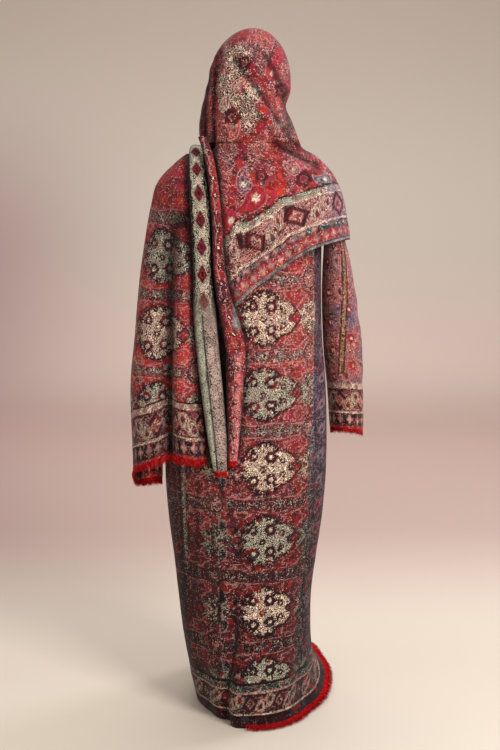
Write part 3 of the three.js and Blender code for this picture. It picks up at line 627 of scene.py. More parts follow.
def draw_medallion(cloth, x, y, light):
    """A round body with dark eyes along its rim, a tail to the right, a bud to the left, and flowers."""
    body = blob(x, y, 50, 60)
    for p in np.linspace(0, 1, 6):
        body = np.minimum(body, np.hypot(x - mix(42, 92, p), y) - mix(36, 6, p**0.7) - 2 * np.cos(9 * p))
    bud = blob(x + 62, y, 15, 24, 4, 0.1)
    lay(cloth, np.minimum(body, bud) - 5, soft=2.5, ground="wine", yarn="blush", figure=0.25, clear=True)
    lay(cloth, bud, ground="maroon", yarn="blush", figure=0.5)
    draw_flower(cloth, x + 62, y, 10, 5, "maroon", "blush", "crimson")
    lay(cloth, body, soft=1.5, ground="maroon", yarn=light, figure=0.55, clear=True)
    turn = np.round(np.arctan2(y / 60, x / 50) * 7 / np.pi) * np.pi / 7
    eye = np.hypot(x - 47 * np.cos(turn), y - 57 * np.sin(turn))
    eye = np.where(x > 40, FAR, eye)
    lay(cloth, np.abs(eye - 4.5) - 1.6, soft=1.4, ground="wine", yarn=light, figure=0.1)
    for fx, fy, size in MEDALLION_FLOWERS:
        draw_flower(cloth, x - fx, y - fy, size, 6, "maroon", light, light)


def draw_leaf_cross(cloth, x, y, light):
    """A cross of thin rays over a diamond bud, with a dark speckled leaf above and below."""
    lay(cloth, blob(x, y, 44, 34, 4, 0.2), soft=4, ground="maroon", yarn=light, figure=0.4, clear=True)
    for lean in (1, -1):
        leaf = boteh(-x + 22, lean * y - 40, 20, 1.0)
        lay(cloth, leaf, ground="charcoal", yarn="grey", figure=0.4, clear=True)
        rule(cloth, "light", leaf)
    for turn in (38, 24, -24, -38, 142, 156, 204, 218):
        lx, ly = turn_by(x, y, turn)
        rule(cloth, "light", np.where((lx > 5) & (lx < 46), ly, FAR))
    bud = diamond(x + 40, y, 14, 18)
    lay(cloth, bud, ground="crimson", yarn="blush", figure=0.3, clear=True)
    rule(cloth, "dark", bud)


ROW_TOP, ROW_PITCH = 832.0, 177.5  # mm: a medallion's height above the floor and the pitch of the rows
COLUMN_PITCH = 122.0


def draw_rows(cloth, s, t, upper="crimson", first=-1000):
    """Rows of medallions and leaf crosses in turn, flowered bands between; no medallion where s < first."""
    row = np.round((t - ROW_TOP) / ROW_PITCH)
    local = t - ROW_TOP - ROW_PITCH * row
    sage_row = row % 2 == 0
    between = np.abs(local) - ROW_PITCH / 2 + 2.5 * np.sin(s / 17)
    wide = 2 * COLUMN_PITCH
    for sx, sy, across, tall in ((78, 50, 42, 22), (-52, 66, 30, 14), (150, 62, 26, 18), (192, 0, 22, 30)):
        glow = blob(wrapped(s - sx, wide), np.abs(local) - sy, across, tall, 5, 0.12)
        lay(cloth, glow, soft=12, ground=upper, yarn="blush", figure=0.33)
        rule(cloth, "light", glow + 6)
    lay(cloth, -between - 13, soft=5, ground="maroon", yarn="blush", figure=0.38, clear=True)
    rule(cloth, "light", between + 17)
    for offset, drop, size in ((0, 2, 7), (14, -6, 5), (27, 6, 5)):
        flower = blob(wrapped(s - offset, 41), -between - drop, size, size * 0.8, 5, 0.25)
        lay(cloth, flower, ground="aubergine", yarn="sage", figure=0.42)
    rosette = np.hypot(wrapped(s - COLUMN_PITCH, wide), -between)
    lay(cloth, rosette - 29, soft=3, ground="maroon", yarn="blush", figure=0.42, clear=True)
    rule(cloth, "dark", rosette - 21)
    lay(cloth, rosette - 10, soft=2, ground="maroon", yarn="blush", figure=0.5)
    for dye, rows in (("cream", ~sage_row), ("sage", sage_row)):
        x = wrapped(s, 2 * COLUMN_PITCH)
        piece = copied(cloth)
        draw_medallion(piece, np.where(s < first, 3 * FAR, x), local, dye)
        draw_leaf_cross(piece, wrapped(s - COLUMN_PITCH, 2 * COLUMN_PITCH), local, dye)
        take(cloth, piece, rows)


# Borders: from the edge inwards, in mm: from, to, ground, figure yarn, share of figure yarn
HEM_BORDER = [
    (-30, 21, "maroon", "blush", 0.3),
    (21, 36, "wine", "crimson", 0.3),
    (36, 41, "wine", "cream", 0.75),
    (41, 92, "maroon", "blush", 0.26),
    (92, 97, "wine", "blush", 0.85),
    (97, 117, "charcoal", "sage", 0.46),
    (117, 121, "wine", "wine", 0.1),
]
SHAWL_BORDER = [
    (-30, 8, "grey", "teal", 0.4),
    (8, 33, "crimson", "blush", 0.3),
    (33, 50, "maroon", "grey", 0.34),
    (50, 55, "maroon", "cream", 0.95),
    (55, 112, "maroon", "blush", 0.46),
    (112, 116, "maroon", "cream", 0.95),
    (116, 131, "wine", "sage", 0.7),
    (131, 135, "wine", "wine", 0.1),
]
END_BORDER = [
    (-30, 9, "scarlet", "blush", 0.22),
    (9, 46, "wine", "blush", 0.24),
    (46, 52, "maroon", "cream", 0.9),
    (52, 113, "maroon", "blush", 0.34),
    (113, 118, "wine", "crimson", 0.4),
    (118, 134, "maroon", "cream", 0.74),
    (134, 137, "wine", "wine", 0.1),
]


def draw_border(whole, e, a, table, pitch, deep, seeds=True):
    """Stripes by the distance e from the edge, up to e = deep, with botehs and diamond flowers in turn along
    the widest one."""
    cloth = copied(whole)
    for low, high, ground, yarn, figure in table:
        middle, half = (low + high) / 2, (high - low) / 2
        lay(cloth, np.abs(e - middle) - half, soft=1, clear=True, ground=ground, yarn=yarn, figure=figure)
        if high - low > 5:
            rule(cloth, "dark", e - high)
    low, high = max(((r[0], r[1]) for r in table if r[0] > 0), key=lambda r: r[1] - r[0])
    centre, tall = (low + high) / 2, high - low
    x, y = wrapped(a, pitch), e - centre
    outer = diamond(x, y, 0.36 * tall, 0.46 * tall)
    lay(cloth, outer, ground="maroon", yarn="crimson", figure=0.35, clear=True)
    rule(cloth, "dark", outer)
    inner = diamond(x, y, 0.2 * tall, 0.27 * tall)
    lay(cloth, inner, ground="crimson", yarn="cream", figure=0.35)
    rule(cloth, "light", inner)
    band = np.abs(y) < tall / 2 - 3
    for side in (1, -1):
        vine = y - side * (0.36 * tall + 0.09 * tall * np.cos(4 * np.pi * a / pitch))
        rule(cloth, "light", np.where(band & (outer > 2), vine, FAR))
    for offset, hook in ((pitch * 0.33, 1), (-pitch * 0.33, -1)):
        bx, by = wrapped(a - offset, pitch), y * hook + 0.06 * tall
        draw_boteh(cloth, bx, by, 0.42 * tall, hook, "maroon", "cream", "crimson")
    for low, high, *_ in table:
        if seeds and 12 < high - low < 45:
            flower = blob(wrapped(a, 24), e - (low + high) / 2, 6, 0.3 * (high - low), 4, 0.3)
            lay(cloth, flower, ground="blush", yarn="wine", figure=0.25)
    take(whole, cloth, e < deep)


def cloth_noise(x, y, pitch, seed):
    """Smooth noise between -1 and 1: a sum of six seeded waves about `pitch` mm long."""
    draw = np.random.default_rng(seed)
    total = np.zeros(np.broadcast(x, y).shape)
    for _ in range(6):
        angle, phase, size = draw.uniform(0, 2 * np.pi), draw.uniform(0, 2 * np.pi), draw.uniform(0.7, 1.5)
        total = total + np.sin((x * np.cos(angle) + y * np.sin(angle)) * 2 * np.pi / (pitch * size) + phase)
    return total / 3.5


def nearest_on(line, x, z):
    """Distance in mm to a line of x and z points, seen from behind."""
    nearest = np.full_like(x, np.inf)
    for (x0, z0), (x1, z1) in zip(line, line[1:]):
        along = ((x - x0) * (x1 - x0) + (z - z0) * (z1 - z0)) / ((x1 - x0) ** 2 + (z1 - z0) ** 2)
        t = np.clip(along, 0, 1)
        nearest = np.minimum(nearest, np.hypot(x - mix(x0, x1, t), z - mix(z0, z1, t)))
    return nearest


def darken_shade_and_dye(cloth, share):
    """Darkens both dyes by a share of 0 to 1, and drops the light lines where the share is above 0.45:
    painted shade in creases, beside pleats and low down, and the darker dye of the robe's panel.
    """
    for key in ("ground", "yarn"):
        cloth[key] = cloth[key] * (1 - share)[..., None]
    cloth["light"] = np.where(share > 0.45, FAR, cloth["light"])


def pleat_side_shade(rows, points, reach_out, strong):
    """How much painted shade falls on the cloth beside a pleat: strongest at the pleat's foot, gone reach_out
    mm away from it.
    """
    order = np.argsort(rows["z"])
    z = points[..., 2]
    middle = np.interp(z, rows["z"][order], rows["x"][order])
    half = np.interp(z, rows["z"][order], rows["half"][order])
    away = np.maximum(np.abs(points[..., 0] - middle) - half, 0)
    behind = (points[..., 1] < 10) & (z > rows["z"].min()) & (z < rows["z"].max())
    return strong * bump(away, reach_out) * behind


# Making a cloth


def normals(points, facing, closed=False):
    """The cross product of the grid's two slopes, turned outward."""
    if closed:
        slope_u = np.roll(points, -1, 1) - np.roll(points, 1, 1)
        slope_u[:, 0] = slope_u[:, -1] = points[:, 1] - points[:, -2]
    else:
        slope_u = np.gradient(points, axis=1)
    n = np.cross(slope_u, np.gradient(points, axis=0)) * facing
    return n / np.maximum(np.linalg.norm(n, axis=-1, keepdims=True), 1e-9)


def arcs(points, axis, start=0):
    """Lengths along a grid's rows (axis 1) or columns (axis 0), from the column or row `start`."""
    step = np.linalg.norm(np.diff(points, axis=axis), axis=-1)
    total = np.concatenate([np.zeros_like(step.take([0], axis)), np.cumsum(step, axis)], axis)
    return total - total.take([start], axis)


def quad_corners(index):
    """The four corners of every face of a grid of vertex numbers."""
    left, right = index[:, :-1], index[:, 1:]
    return np.stack([left[:-1], right[:-1], right[1:], left[1:]], -1).reshape(-1, 4)


def fill_mesh(name, vertices, quads, loop_uv=None, values=None):
    """A mesh object at the origin, in metres, with flat cloth places by corner, and point attributes."""
    mesh = bpy.data.meshes.new(name)
    mesh.vertices.add(len(vertices))
    mesh.vertices.foreach_set("co", np.asarray(vertices, np.float32).ravel())
    mesh.loops.add(quads.size)
    mesh.loops.foreach_set("vertex_index", quads.astype(np.int32).ravel())
    mesh.polygons.add(len(quads))
    mesh.polygons.foreach_set("loop_start", np.arange(0, quads.size, quads.shape[1], dtype=np.int32))
    mesh.update(calc_edges=True)
    mesh.validate()
    mesh.polygons.foreach_set("use_smooth", np.ones(len(mesh.polygons), bool))
    if loop_uv is not None:
        layer = mesh.uv_layers.new(name="cloth")
        layer.data.foreach_set("uv", np.asarray(loop_uv, np.float32).ravel())
    for key, value in (values or {}).items():
        kind = "FLOAT_COLOR" if value.shape[-1] == 4 else "FLOAT"
        layer = mesh.attributes.new(key, kind, "POINT")
        field = "color" if kind == "FLOAT_COLOR" else "value"
        layer.data.foreach_set(field, value.astype(np.float32).ravel())
    obj = bpy.data.objects.new(name, mesh)
    bpy.context.collection.objects.link(obj)
    return obj


def sew(node, points, cloth, flat_xy, material, folds, facing=1, closed=False, hole=None):
    """One cloth from a grid of points in mm: moved to the middle of the CAD wall, folded and thickened."""
    places = points + normals(points, facing, closed) * (CLOTH / 2 + folds)[..., None]
    rows, cols = points.shape[:2]
    used = cols - 1 if closed else cols
    welded = np.arange(rows * used).reshape(rows, used)
    if closed:
        welded = np.concatenate([welded, welded[:, :1]], 1)
    quads = quad_corners(welded)
    corners = quad_corners(np.arange(rows * cols).reshape(rows, cols))
    if hole is not None:
        keep = ~hole.reshape(-1)
        quads, corners = quads[keep], corners[keep]
    if facing < 0:
        quads, corners = quads[:, ::-1], corners[:, ::-1]
    uv = np.stack(flat_xy, -1).reshape(-1, 2)[corners.reshape(-1)] / 1000
    vertices = (places[:, :used].reshape(-1, 3) - [0, 0, HOLD_HEIGHT]) / 1000
    values = {key: value[:, :used].reshape(rows * used, -1) for key, value in cloth.items()}
    for key in ("ground", "yarn"):
        values[key] = np.hstack([values[key], np.ones((rows * used, 1))])
    obj = fill_mesh(node + "_cloth", vertices, quads, uv, values)
    obj.data.materials.append(material)
    solid = obj.modifiers.new("thickness", "SOLIDIFY")
    solid.thickness, solid.offset = SHELL / 1000, 0
    solid.use_rim = True
    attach(obj, "root")
    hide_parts(node)
    return obj


# Materials


def add(tree, kind, inputs=None, **settings):
    """Adds a shader node with its settings; an input takes a value, a node's first output or any output."""
    node = tree.nodes.new("ShaderNode" + kind)
    for key, value in settings.items():
        setattr(node, key, value)
    for key, value in (inputs or {}).items():
        fed = value.outputs[0] if isinstance(value, bpy.types.Node) else value
        if isinstance(fed, bpy.types.NodeSocket):
            tree.links.new(fed, node.inputs[key])
        else:
            node.inputs[key].default_value = fed
    return node


def blank_material(name):
    """A material with an empty node tree and an output."""
    material = bpy.data.materials.new(name)
    material.use_nodes = True
    tree = material.node_tree
    tree.nodes.clear()
    return material, tree, add(tree, "OutputMaterial")


FLORET_CELL = 0.0140  # m: one small rosette of the filigree
VINE_CELL = 0.0105  # m: one loop of the fine scrolls
DOT_CELL = 0.0056  # m: one dot of the speckled ground
GRAIN_CELL = 0.0032  # m: a few yarns together, as one yarn is too fine to show
TWILL_PITCH = 0.0024  # m: the twill line, drawn about three times as coarse as it is
RANKS = {"dot": 0.15, "scroll": 0.34, "petal": 0.4, "outline": 1.2}  # the share of figure yarn each needs
ACCENTS = (  # from this draw on, a rosette stands on this dye, by this weight
    (0.0, "scarlet", 0.25),
    (0.1, "wine", 0.0),
    (0.7, "wine", 0.5),
    (0.86, "aubergine", 0.5),
    (0.97, "teal", 0.25),
)


def shawl_twill(name, accents=1.0):
    """Fine wool shawl twill: matt, with a soft sheen; figure yarn floats stand a little proud of the ground.

    A field of ranks is drawn on the flat cloth: dots rank lowest, then scroll lines, then rosette petals,
    then loose grain, and outlines highest. Figure yarn shows where the cloth's share of it is above the rank.
    """
    material, tree, output = blank_material(name)
    place = add(tree, "UVMap", uv_map="cloth")
    keys = ("ground", "yarn", "figure", "light", "dark")
    read = {key: add(tree, "Attribute", attribute_name=key) for key in keys}
    flat, step = {"voronoi_dimensions": "2D"}, {"interpolation_type": "SMOOTHSTEP"}
    falling = {"To Min": 1.0, "To Max": 0.0}
    # hand-drawn wobble
    sway = add(tree, "TexNoise", {"Vector": place, "Scale": 60.0, "Detail": 1.0}, noise_dimensions="2D")
    sway = add(tree, "VectorMath", {0: sway.outputs["Color"], 1: (0.5, 0.5, 0.5)}, operation="SUBTRACT")
    little = add(tree, "VectorMath", {0: sway, "Scale": 0.008}, operation="SCALE")
    much = add(tree, "VectorMath", {0: sway, "Scale": 0.03}, operation="SCALE")
    near = add(tree, "VectorMath", {0: place, 1: little}, operation="ADD")
    bent = add(tree, "VectorMath", {0: place, 1: much}, operation="ADD")
    # rosettes: rim = 0.33 + 0.07 cos(5 turn + phase), in cells, each of its own size
    floret = add(tree, "TexVoronoi", {"Vector": near, "Scale": 1 / FLORET_CELL, "Randomness": 0.85}, **flat)
    batch = add(tree, "SeparateColor", {0: floret.outputs["Color"]})
    local = add(tree, "VectorMath", {0: near, 1: floret.outputs["Position"]}, operation="SUBTRACT")
    local = add(tree, "SeparateXYZ", {0: local})
    turn = add(tree, "Math", {0: local.outputs[1], 1: local.outputs[0]}, operation="ARCTAN2")
    phase = add(tree, "Math", {0: batch, 1: 6.28}, operation="MULTIPLY")
    wave = add(tree, "Math", {0: turn, 1: 5.0, 2: phase}, operation="MULTIPLY_ADD")
    wave = add(tree, "Math", {0: wave}, operation="COSINE")
    rim = add(tree, "Math", {0: wave, 1: 0.07, 2: 0.33}, operation="MULTIPLY_ADD")
    size = add(tree, "Math", {0: batch.outputs[1], 1: 0.5, 2: 0.75}, operation="MULTIPLY_ADD")
    away = add(tree, "Math", {0: floret, 1: size}, operation="DIVIDE")
    inside = add(tree, "Math", {0: rim, 1: away}, operation="SUBTRACT")
    petal = add(tree, "MapRange", {"Value": inside, "From Min": 0.0, "From Max": 0.05}, **step)
    ring = add(tree, "Math", {0: away, 1: 0.17, 2: 0.05}, operation="COMPARE")
    outline = add(tree, "Math", {0: inside, 1: -0.04, 2: 0.045}, operation="COMPARE")
    drawn = add(tree, "Math", {0: ring, 1: outline}, operation="MAXIMUM")
    # scroll lines, dots and grain
    vine = {"Vector": bent, "Scale": 1 / VINE_CELL}
    vine = add(tree, "TexVoronoi", vine, feature="DISTANCE_TO_EDGE", **flat)
    vine = add(tree, "MapRange", {"Value": vine, "From Min": 0.07, "From Max": 0.13, **falling}, **step)
    dot = add(tree, "TexVoronoi", {"Vector": near, "Scale": 1 / DOT_CELL, "Randomness": 0.8}, **flat)
    dot = add(tree, "MapRange", {"Value": dot, "From Min": 0.24, "From Max": 0.33, **falling}, **step)
    grain = {"Vector": place, "Scale": 1 / GRAIN_CELL, "Detail": 2.0, "Roughness": 0.6}
    grain = add(tree, "TexNoise", grain, noise_dimensions="2D")
    rank = add(tree, "Math", {0: grain, 1: 1.2, 2: 0.1}, operation="MULTIPLY_ADD")
    for field, kind in ((dot, "dot"), (vine, "scroll"), (petal, "petal"), (drawn, "outline")):
        rank = add(tree, "Mix", {0: field, 2: rank, 3: RANKS[kind]})
    rough = add(tree, "Math", {0: grain, 1: 0.7, 2: -0.35}, operation="MULTIPLY_ADD")
    rank = add(tree, "Math", {0: rank, 1: rough}, operation="ADD")
    beats = add(tree, "Math", {0: read["figure"].outputs["Fac"], 1: rank}, operation="SUBTRACT")
    shows = add(tree, "MapRange", {"Value": beats, "From Min": -0.05, "From Max": 0.05}, **step)
    # every rosette takes its own batch of dye, and a few stand on an accent
    hue = add(tree, "MapRange", {"Value": batch, "To Min": 0.492, "To Max": 0.512})
    value = add(tree, "MapRange", {"Value": batch.outputs[1], "To Min": 0.65, "To Max": 1.25})
    other = add(tree, "ValToRGB", {"Fac": batch.outputs[2]})
    other.color_ramp.interpolation = "CONSTANT"
    stops = other.color_ramp.elements
    for drawn_from, dye, weight in ACCENTS:
        stop = stops.new(drawn_from) if drawn_from else stops[0]
        stop.color = (*DYE[dye], weight * accents)
    stops.remove(stops[-1])
    ground = add(tree, "HueSaturation", {"Color": read["ground"], "Hue": hue, "Value": value})
    ground = add(tree, "Mix", {0: other.outputs["Alpha"], 6: ground, 7: other}, data_type="RGBA")
    pale = {"Value": grain, "From Min": 0.3, "From Max": 0.7, "To Min": 0.68, "To Max": 1.5}
    pale = add(tree, "MapRange", pale)
    yarn = add(tree, "HueSaturation", {"Color": read["yarn"], "Hue": hue, "Value": pale})
    woven = add(tree, "Mix", {0: shows, 6: ground.outputs[2], 7: yarn}, data_type="RGBA")
    # drawn lines: about 4 mm broad and soft, light ones over dark ones
    away = {key: read[key].outputs["Fac"] for key in ("dark", "light")}
    dark = {"Value": away["dark"], "From Min": 0.9, "From Max": 3.1, "To Min": 0.85, "To Max": 0.0}
    dark = add(tree, "MapRange", dark, **step)
    light = {"Value": away["light"], "From Min": 0.6, "From Max": 2.4, "To Min": 0.7, "To Max": 0.0}
    light = add(tree, "MapRange", light, **step)
    broken = add(tree, "MapRange", {"Value": grain, "From Min": 0.36, "From Max": 0.5}, **step)
    light = add(tree, "Math", {0: light, 1: broken}, operation="MULTIPLY")
    lined = add(tree, "Mix", {0: dark, 6: woven.outputs[2], 7: (*DYE["charcoal"], 1)}, data_type="RGBA")
    lined = add(tree, "Mix", {0: light, 6: lined.outputs[2], 7: read["yarn"]}, data_type="RGBA")
    # twill lines and single yarns darken and lighten the whole
    twill = {"Vector": place, "Scale": 0.31 / TWILL_PITCH, "Distortion": 1.5, "Detail": 1.0}
    twill = add(tree, "TexWave", twill, wave_type="BANDS", bands_direction="DIAGONAL")
    speck = add(tree, "Math", {0: twill.outputs["Fac"], 1: 0.2, 2: grain}, operation="MULTIPLY_ADD")
    worn = {"Value": speck, "From Min": 0.3, "From Max": 0.9, "To Min": 0.45, "To Max": 1.55}
    worn = add(tree, "MapRange", worn)
    toned = add(tree, "VectorMath", {0: lined.outputs[2], "Scale": worn}, operation="SCALE")
    height = add(tree, "Math", {0: shows, 1: 0.6, 2: speck}, operation="MULTIPLY_ADD")
    raised = add(tree, "Bump", {"Height": height, "Strength": 0.5, "Distance": 0.0006})
    finish = {
        "Base Color": toned,
        "Roughness": 0.86,
        "IOR": 1.5,
        "Specular IOR Level": 0.2,
        "Sheen Weight": 0.06,
        "Sheen Roughness": 0.5,
        "Normal": raised,
    }
    shader = add(tree, "BsdfPrincipled", finish)
    tree.links.new(shader.outputs[0], output.inputs[0])
    return material


def red_wool():
    """Frayed red wool yarn: matt and a little fuzzy, each lock dyed a little differently."""
    material, tree, output = blank_material("frayed_red_wool")
    place = add(tree, "TexCoord").outputs["Object"]
    tone = add(tree, "TexNoise", {"Vector": place, "Scale": 160.0, "Detail": 2.0})
    colour = add(tree, "ValToRGB", {"Fac": tone})
    for stop, stop_at, code in zip(colour.color_ramp.elements, (0.3, 0.65), ("6e0408", "dc1016")):
        stop.position, stop.color = stop_at, (*rgb(code), 1)
    finish = {"Base Color": colour, "Roughness": 0.85, "Sheen Weight": 0.03, "Specular IOR Level": 0.1}
    shader = add(tree, "BsdfPrincipled", finish)
    tree.links.new(shader.outputs[0], output.inputs[0])
    return material


robe_twill = shawl_twill("robe_shawl_twill")
head_twill = shawl_twill("head_shawl_twill")
reverse_twill = shawl_twill("shawl_reverse_twill", 0.0)
wool = red_wool()


# The robe


def steps(low, high, pitch):
    """Even stops about `pitch` apart."""
    return np.linspace(low, high, max(2, int(round((high - low) / pitch))) + 1)


ROBE_CREASE_SHADE = [  # painted shade along creases: width, share of painted shade, line of x and z above the floor
    (3.4, 0.85, [(-34, 330), (-29, 250), (-42, 160), (-56, 70), (-60, 12)]),
    (2.4, 0.9, [(-66, 376), (-70, 330), (-78, 257)]),
    (3.4, 0.75, [(-78, 627), (-52, 554), (-28, 488), (-24, 430)]),
    (5.0, 0.45, [(-120, 620), (-128, 480), (-134, 330)]),
    (4.0, 0.4, [(-100, 500), (-84, 430), (-66, 330)]),
    (6.0, 0.35, [(-24, 240), (-14, 150), (-18, 60)]),
]


PANEL_SEAM = columns(
    "t x", [(170, 121), (260, 122), (350, 125), (460, 134), (560, 141), (740, 147), (960, 150)]
)
LEFT_STRIPE = columns("t x", [(150, -139), (400, -153), (560, -158), (720, -160)])
PANEL_STRIPS = [(165, 352, 5, "grey"), (408, 512, 2.6, "sage"), (560, 745, 5, "grey")]  # from, to, half, yarn
PANEL_BOTEHS = {"from": 300, "to": 1000, "pitch": 62, "in": 24, "size": 15, "mauve_above": 560}
LOW_ROBE_SHADE = {"from": 250, "over": 700, "ground": 0.72, "yarn": 0.08, "plain_yarn": 0.22}  # painted shade low down, where less light falls: how much darker the dyes get
ASIDE = 400.0  # mm, added where the seam and the stripe aren't seen, so that they lie off the cloth


def robe_cloth(side, across, v, s, points):
    """The robe's cloth: rows of medallions, a border at the hem, a darker panel down the right side, and
    painted shade low down, down the left side, in creases and beside the pleats.
    """
    angle = across if side < 0 else 180 - across
    t = np.where(v > 1, ARMPIT + (v - 1) * SHOULDER_RISE, np.minimum(v, 1) * ARMPIT)
    low = 1 - smooth((t - LOW_ROBE_SHADE["from"]) / LOW_ROBE_SHADE["over"])
    cloth = bolt(s.shape, "crimson", "blush", 0.36)
    lay(cloth, cloth_noise(s, t, 150, 3) * 20 + 6, soft=16, ground="maroon")
    lay(cloth, cloth_noise(s, t, 110, 8) * 20 + 10, soft=14, ground="aubergine")
    draw_rows(cloth, s - 33, t, "crimson", -150)
    x = points[..., 0]
    right = np.where(turned(angle, 90) < 0, x, ASIDE - x) if side < 0 else x + ASIDE
    beside = right - np.interp(t, PANEL_SEAM["t"], PANEL_SEAM["x"])
    panel = smooth(beside / 4) * smooth((t - 130) / 60)
    lilac = panel * smooth((t - 520) / 120)
    for key, dye, plain in (("ground", "aubergine", "wine"), ("yarn", "lilac", "mauve")):
        cloth[key] += (DYE[plain] - cloth[key]) * (0.6 * panel)[..., None]
        cloth[key] += (DYE[dye] - cloth[key]) * (0.7 * lilac)[..., None]
    darken_shade_and_dye(cloth, 0.3 * panel)
    for low_t, high_t, half, yarn in PANEL_STRIPS:
        strip = np.where((t > low_t) & (t < high_t), np.abs(beside) - half, FAR)
        lay(cloth, strip, soft=1.5, ground="wine", yarn=yarn, figure=0.46, clear=True)
    for height in np.arange(PANEL_BOTEHS["from"], PANEL_BOTEHS["to"], PANEL_BOTEHS["pitch"]):
        rim = "mauve" if height > PANEL_BOTEHS["mauve_above"] else "rose"
        across_panel = beside - PANEL_BOTEHS["in"]
        draw_boteh(cloth, across_panel, t - height, PANEL_BOTEHS["size"], 1.0, "wine", rim, "maroon")
    stripe_x = np.interp(t, LEFT_STRIPE["t"], LEFT_STRIPE["x"])
    stripe = np.abs(x - stripe_x) + (0 if side < 0 else ASIDE)
    lay(cloth, np.where(t > 420, stripe - 4, FAR), ground="wine", yarn="sage", figure=0.5, clear=True)
    rule(cloth, "dark", stripe - 9)
    # painted shade down the robe's left side, left of the stripe
    painted_shade_left = smooth((stripe_x - x) / 10) if side < 0 else 0.0 * t
    for key, dye in (("ground", "charcoal"), ("yarn", "mauve")):
        cloth[key] += (DYE[dye] * 0.7 - cloth[key]) * (0.6 * painted_shade_left)[..., None]
    draw_border(cloth, t, s, HEM_BORDER, pitch=76, deep=123, seeds=False)
    # painted shade low down: darker ground, and darker yarn and less figure yarn where the figure is sparse
    plain = 1 - smooth((cloth["figure"] - 0.46) / 0.1)
    cloth["ground"] *= (1 - LOW_ROBE_SHADE["ground"] * low)[..., None]
    cloth["yarn"] *= (1 - (LOW_ROBE_SHADE["yarn"] + LOW_ROBE_SHADE["plain_yarn"] * plain) * low)[..., None]
    cloth["figure"] -= 0.1 * low * plain
    # on the back panel: painted shade in the creases, beside both pleats, and low down at both sides
    if side < 0:
        for width, deep, line in ROBE_CREASE_SHADE:
            darken_shade_and_dye(cloth, deep * bump(nearest_on(line, x, points[..., 2]), width))
        darken_shade_and_dye(cloth, pleat_side_shade(BORDER_PLEAT, points, 12, 0.9))
        darken_shade_and_dye(cloth, pleat_side_shade(EDGE_PLEAT, points, 8, 0.75))
        darken_shade_and_dye(cloth, 0.3 * low * (smooth((-62 - x) / 50) + smooth((x - 84) / 26)))
    return cloth


def make_robe_panel(side, name, pitch):
    """The back or the front panel, from seam to seam and from hem to neckline."""
    across = np.linspace(-89.88, 89.88, int(560 / pitch))
    over = 1 + steps(0, 1, pitch / SHOULDER_RISE)[1:-1]
    v = np.concatenate([steps(0, 1, pitch / ARMPIT), over, [1.999]])
    u, v = np.meshgrid(across, v)
    points = robe_panel(side, u, v)
    middle = int(np.argmin(np.abs(across)))
    ring_middle = points[:, middle, 0][:, None]
    s = arcs(points, 1, middle) + ring_middle
    if side > 0:
        s = s + 2 * COLUMN_PITCH
    cloth = robe_cloth(side, u, v, s, points)
    z = points[..., 2]
    calm = smooth((90 - np.abs(u)) / 14) * smooth((1240 - z) / 60)
    folds = calm * (1.3 * cloth_noise(s, z * 0.45, 120, 5) + 0.5 * cloth_noise(s * 0.6, z, 46, 9))
    return sew(name, points, cloth, (s, z), robe_twill, folds, -side)


robe_back = make_robe_panel(-1, "robe_back", 4.1)
robe_front = make_robe_panel(1, "robe_front", 5.0)


SLEEVE_FIGURES = {"across": 52, "along": 74, "shift": 34, "boteh": 21, "flower": 10}  # mm
SLEEVE_STRIPS = [(0.1, 0.3, 0.35), (0.26, 0.75, -0.12)]  # low, high, lean


def make_sleeve(hand, rows, name, pitch):
    """A set sleeve: the robe's cloth turned along its length, with a bordered cuff."""
    u, w = np.meshgrid(np.linspace(0, 2, int(390 / pitch)), steps(0, 1, pitch / 720))
    points = sleeve(hand, rows, u, w)
    s = arcs(points, 1, u.shape[1] // 4)
    t = arcs(points, 0, -1)
    e = -t
    cloth = bolt(s.shape, "crimson", "blush", 0.42)
    lay(cloth, cloth_noise(s, t, 120, 12) * 20 + 4, soft=12, ground="violet", yarn="mauve")
    lay(cloth, cloth_noise(s, t, 90, 14) * 20 + 8, soft=10, ground="maroon")
    across, along = SLEEVE_FIGURES["across"], SLEEVE_FIGURES["along"]
    column = np.round(s / across)
    cx, cy = s - across * column, wrapped(t + SLEEVE_FIGURES["shift"] * column, along)
    draw_boteh(cloth, cx, cy, SLEEVE_FIGURES["boteh"], 1.0, "maroon", "blush", "crimson")
    between = wrapped(cy - along / 2, along)
    draw_flower(cloth, cx - 20, between, SLEEVE_FIGURES["flower"], 5, "crimson", "blush", "cream")
    draw_border(cloth, e, s + 20, END_BORDER, pitch=66, deep=134)
    for low, high, lean in SLEEVE_STRIPS:
        strip = np.abs(s - 18 - lean * (t + 420)) * 0.9
        within = np.where((w > low) & (w < high), strip, FAR)
        lay(cloth, within - 4, ground="maroon", yarn="ochre", figure=0.5, clear=True)
        rule(cloth, "dark", within - 6)
    folds = smooth(w / 0.3) * smooth((1 - w) / 0.05) * (1.4 * cloth_noise(s * 0.5, t, 70, 21))
    inner = np.cos(u * np.pi)
    folds = folds * smooth((0.75 - inner) / 0.4)
    return sew(name, points, cloth, (s, t), robe_twill, folds, hand, closed=True)


sleeve_right = make_sleeve(1, RIGHT_SLEEVE, "sleeve_right", 4.0)
sleeve_left = make_sleeve(-1, LEFT_SLEEVE, "sleeve_left", 6.0)


# The head shawl

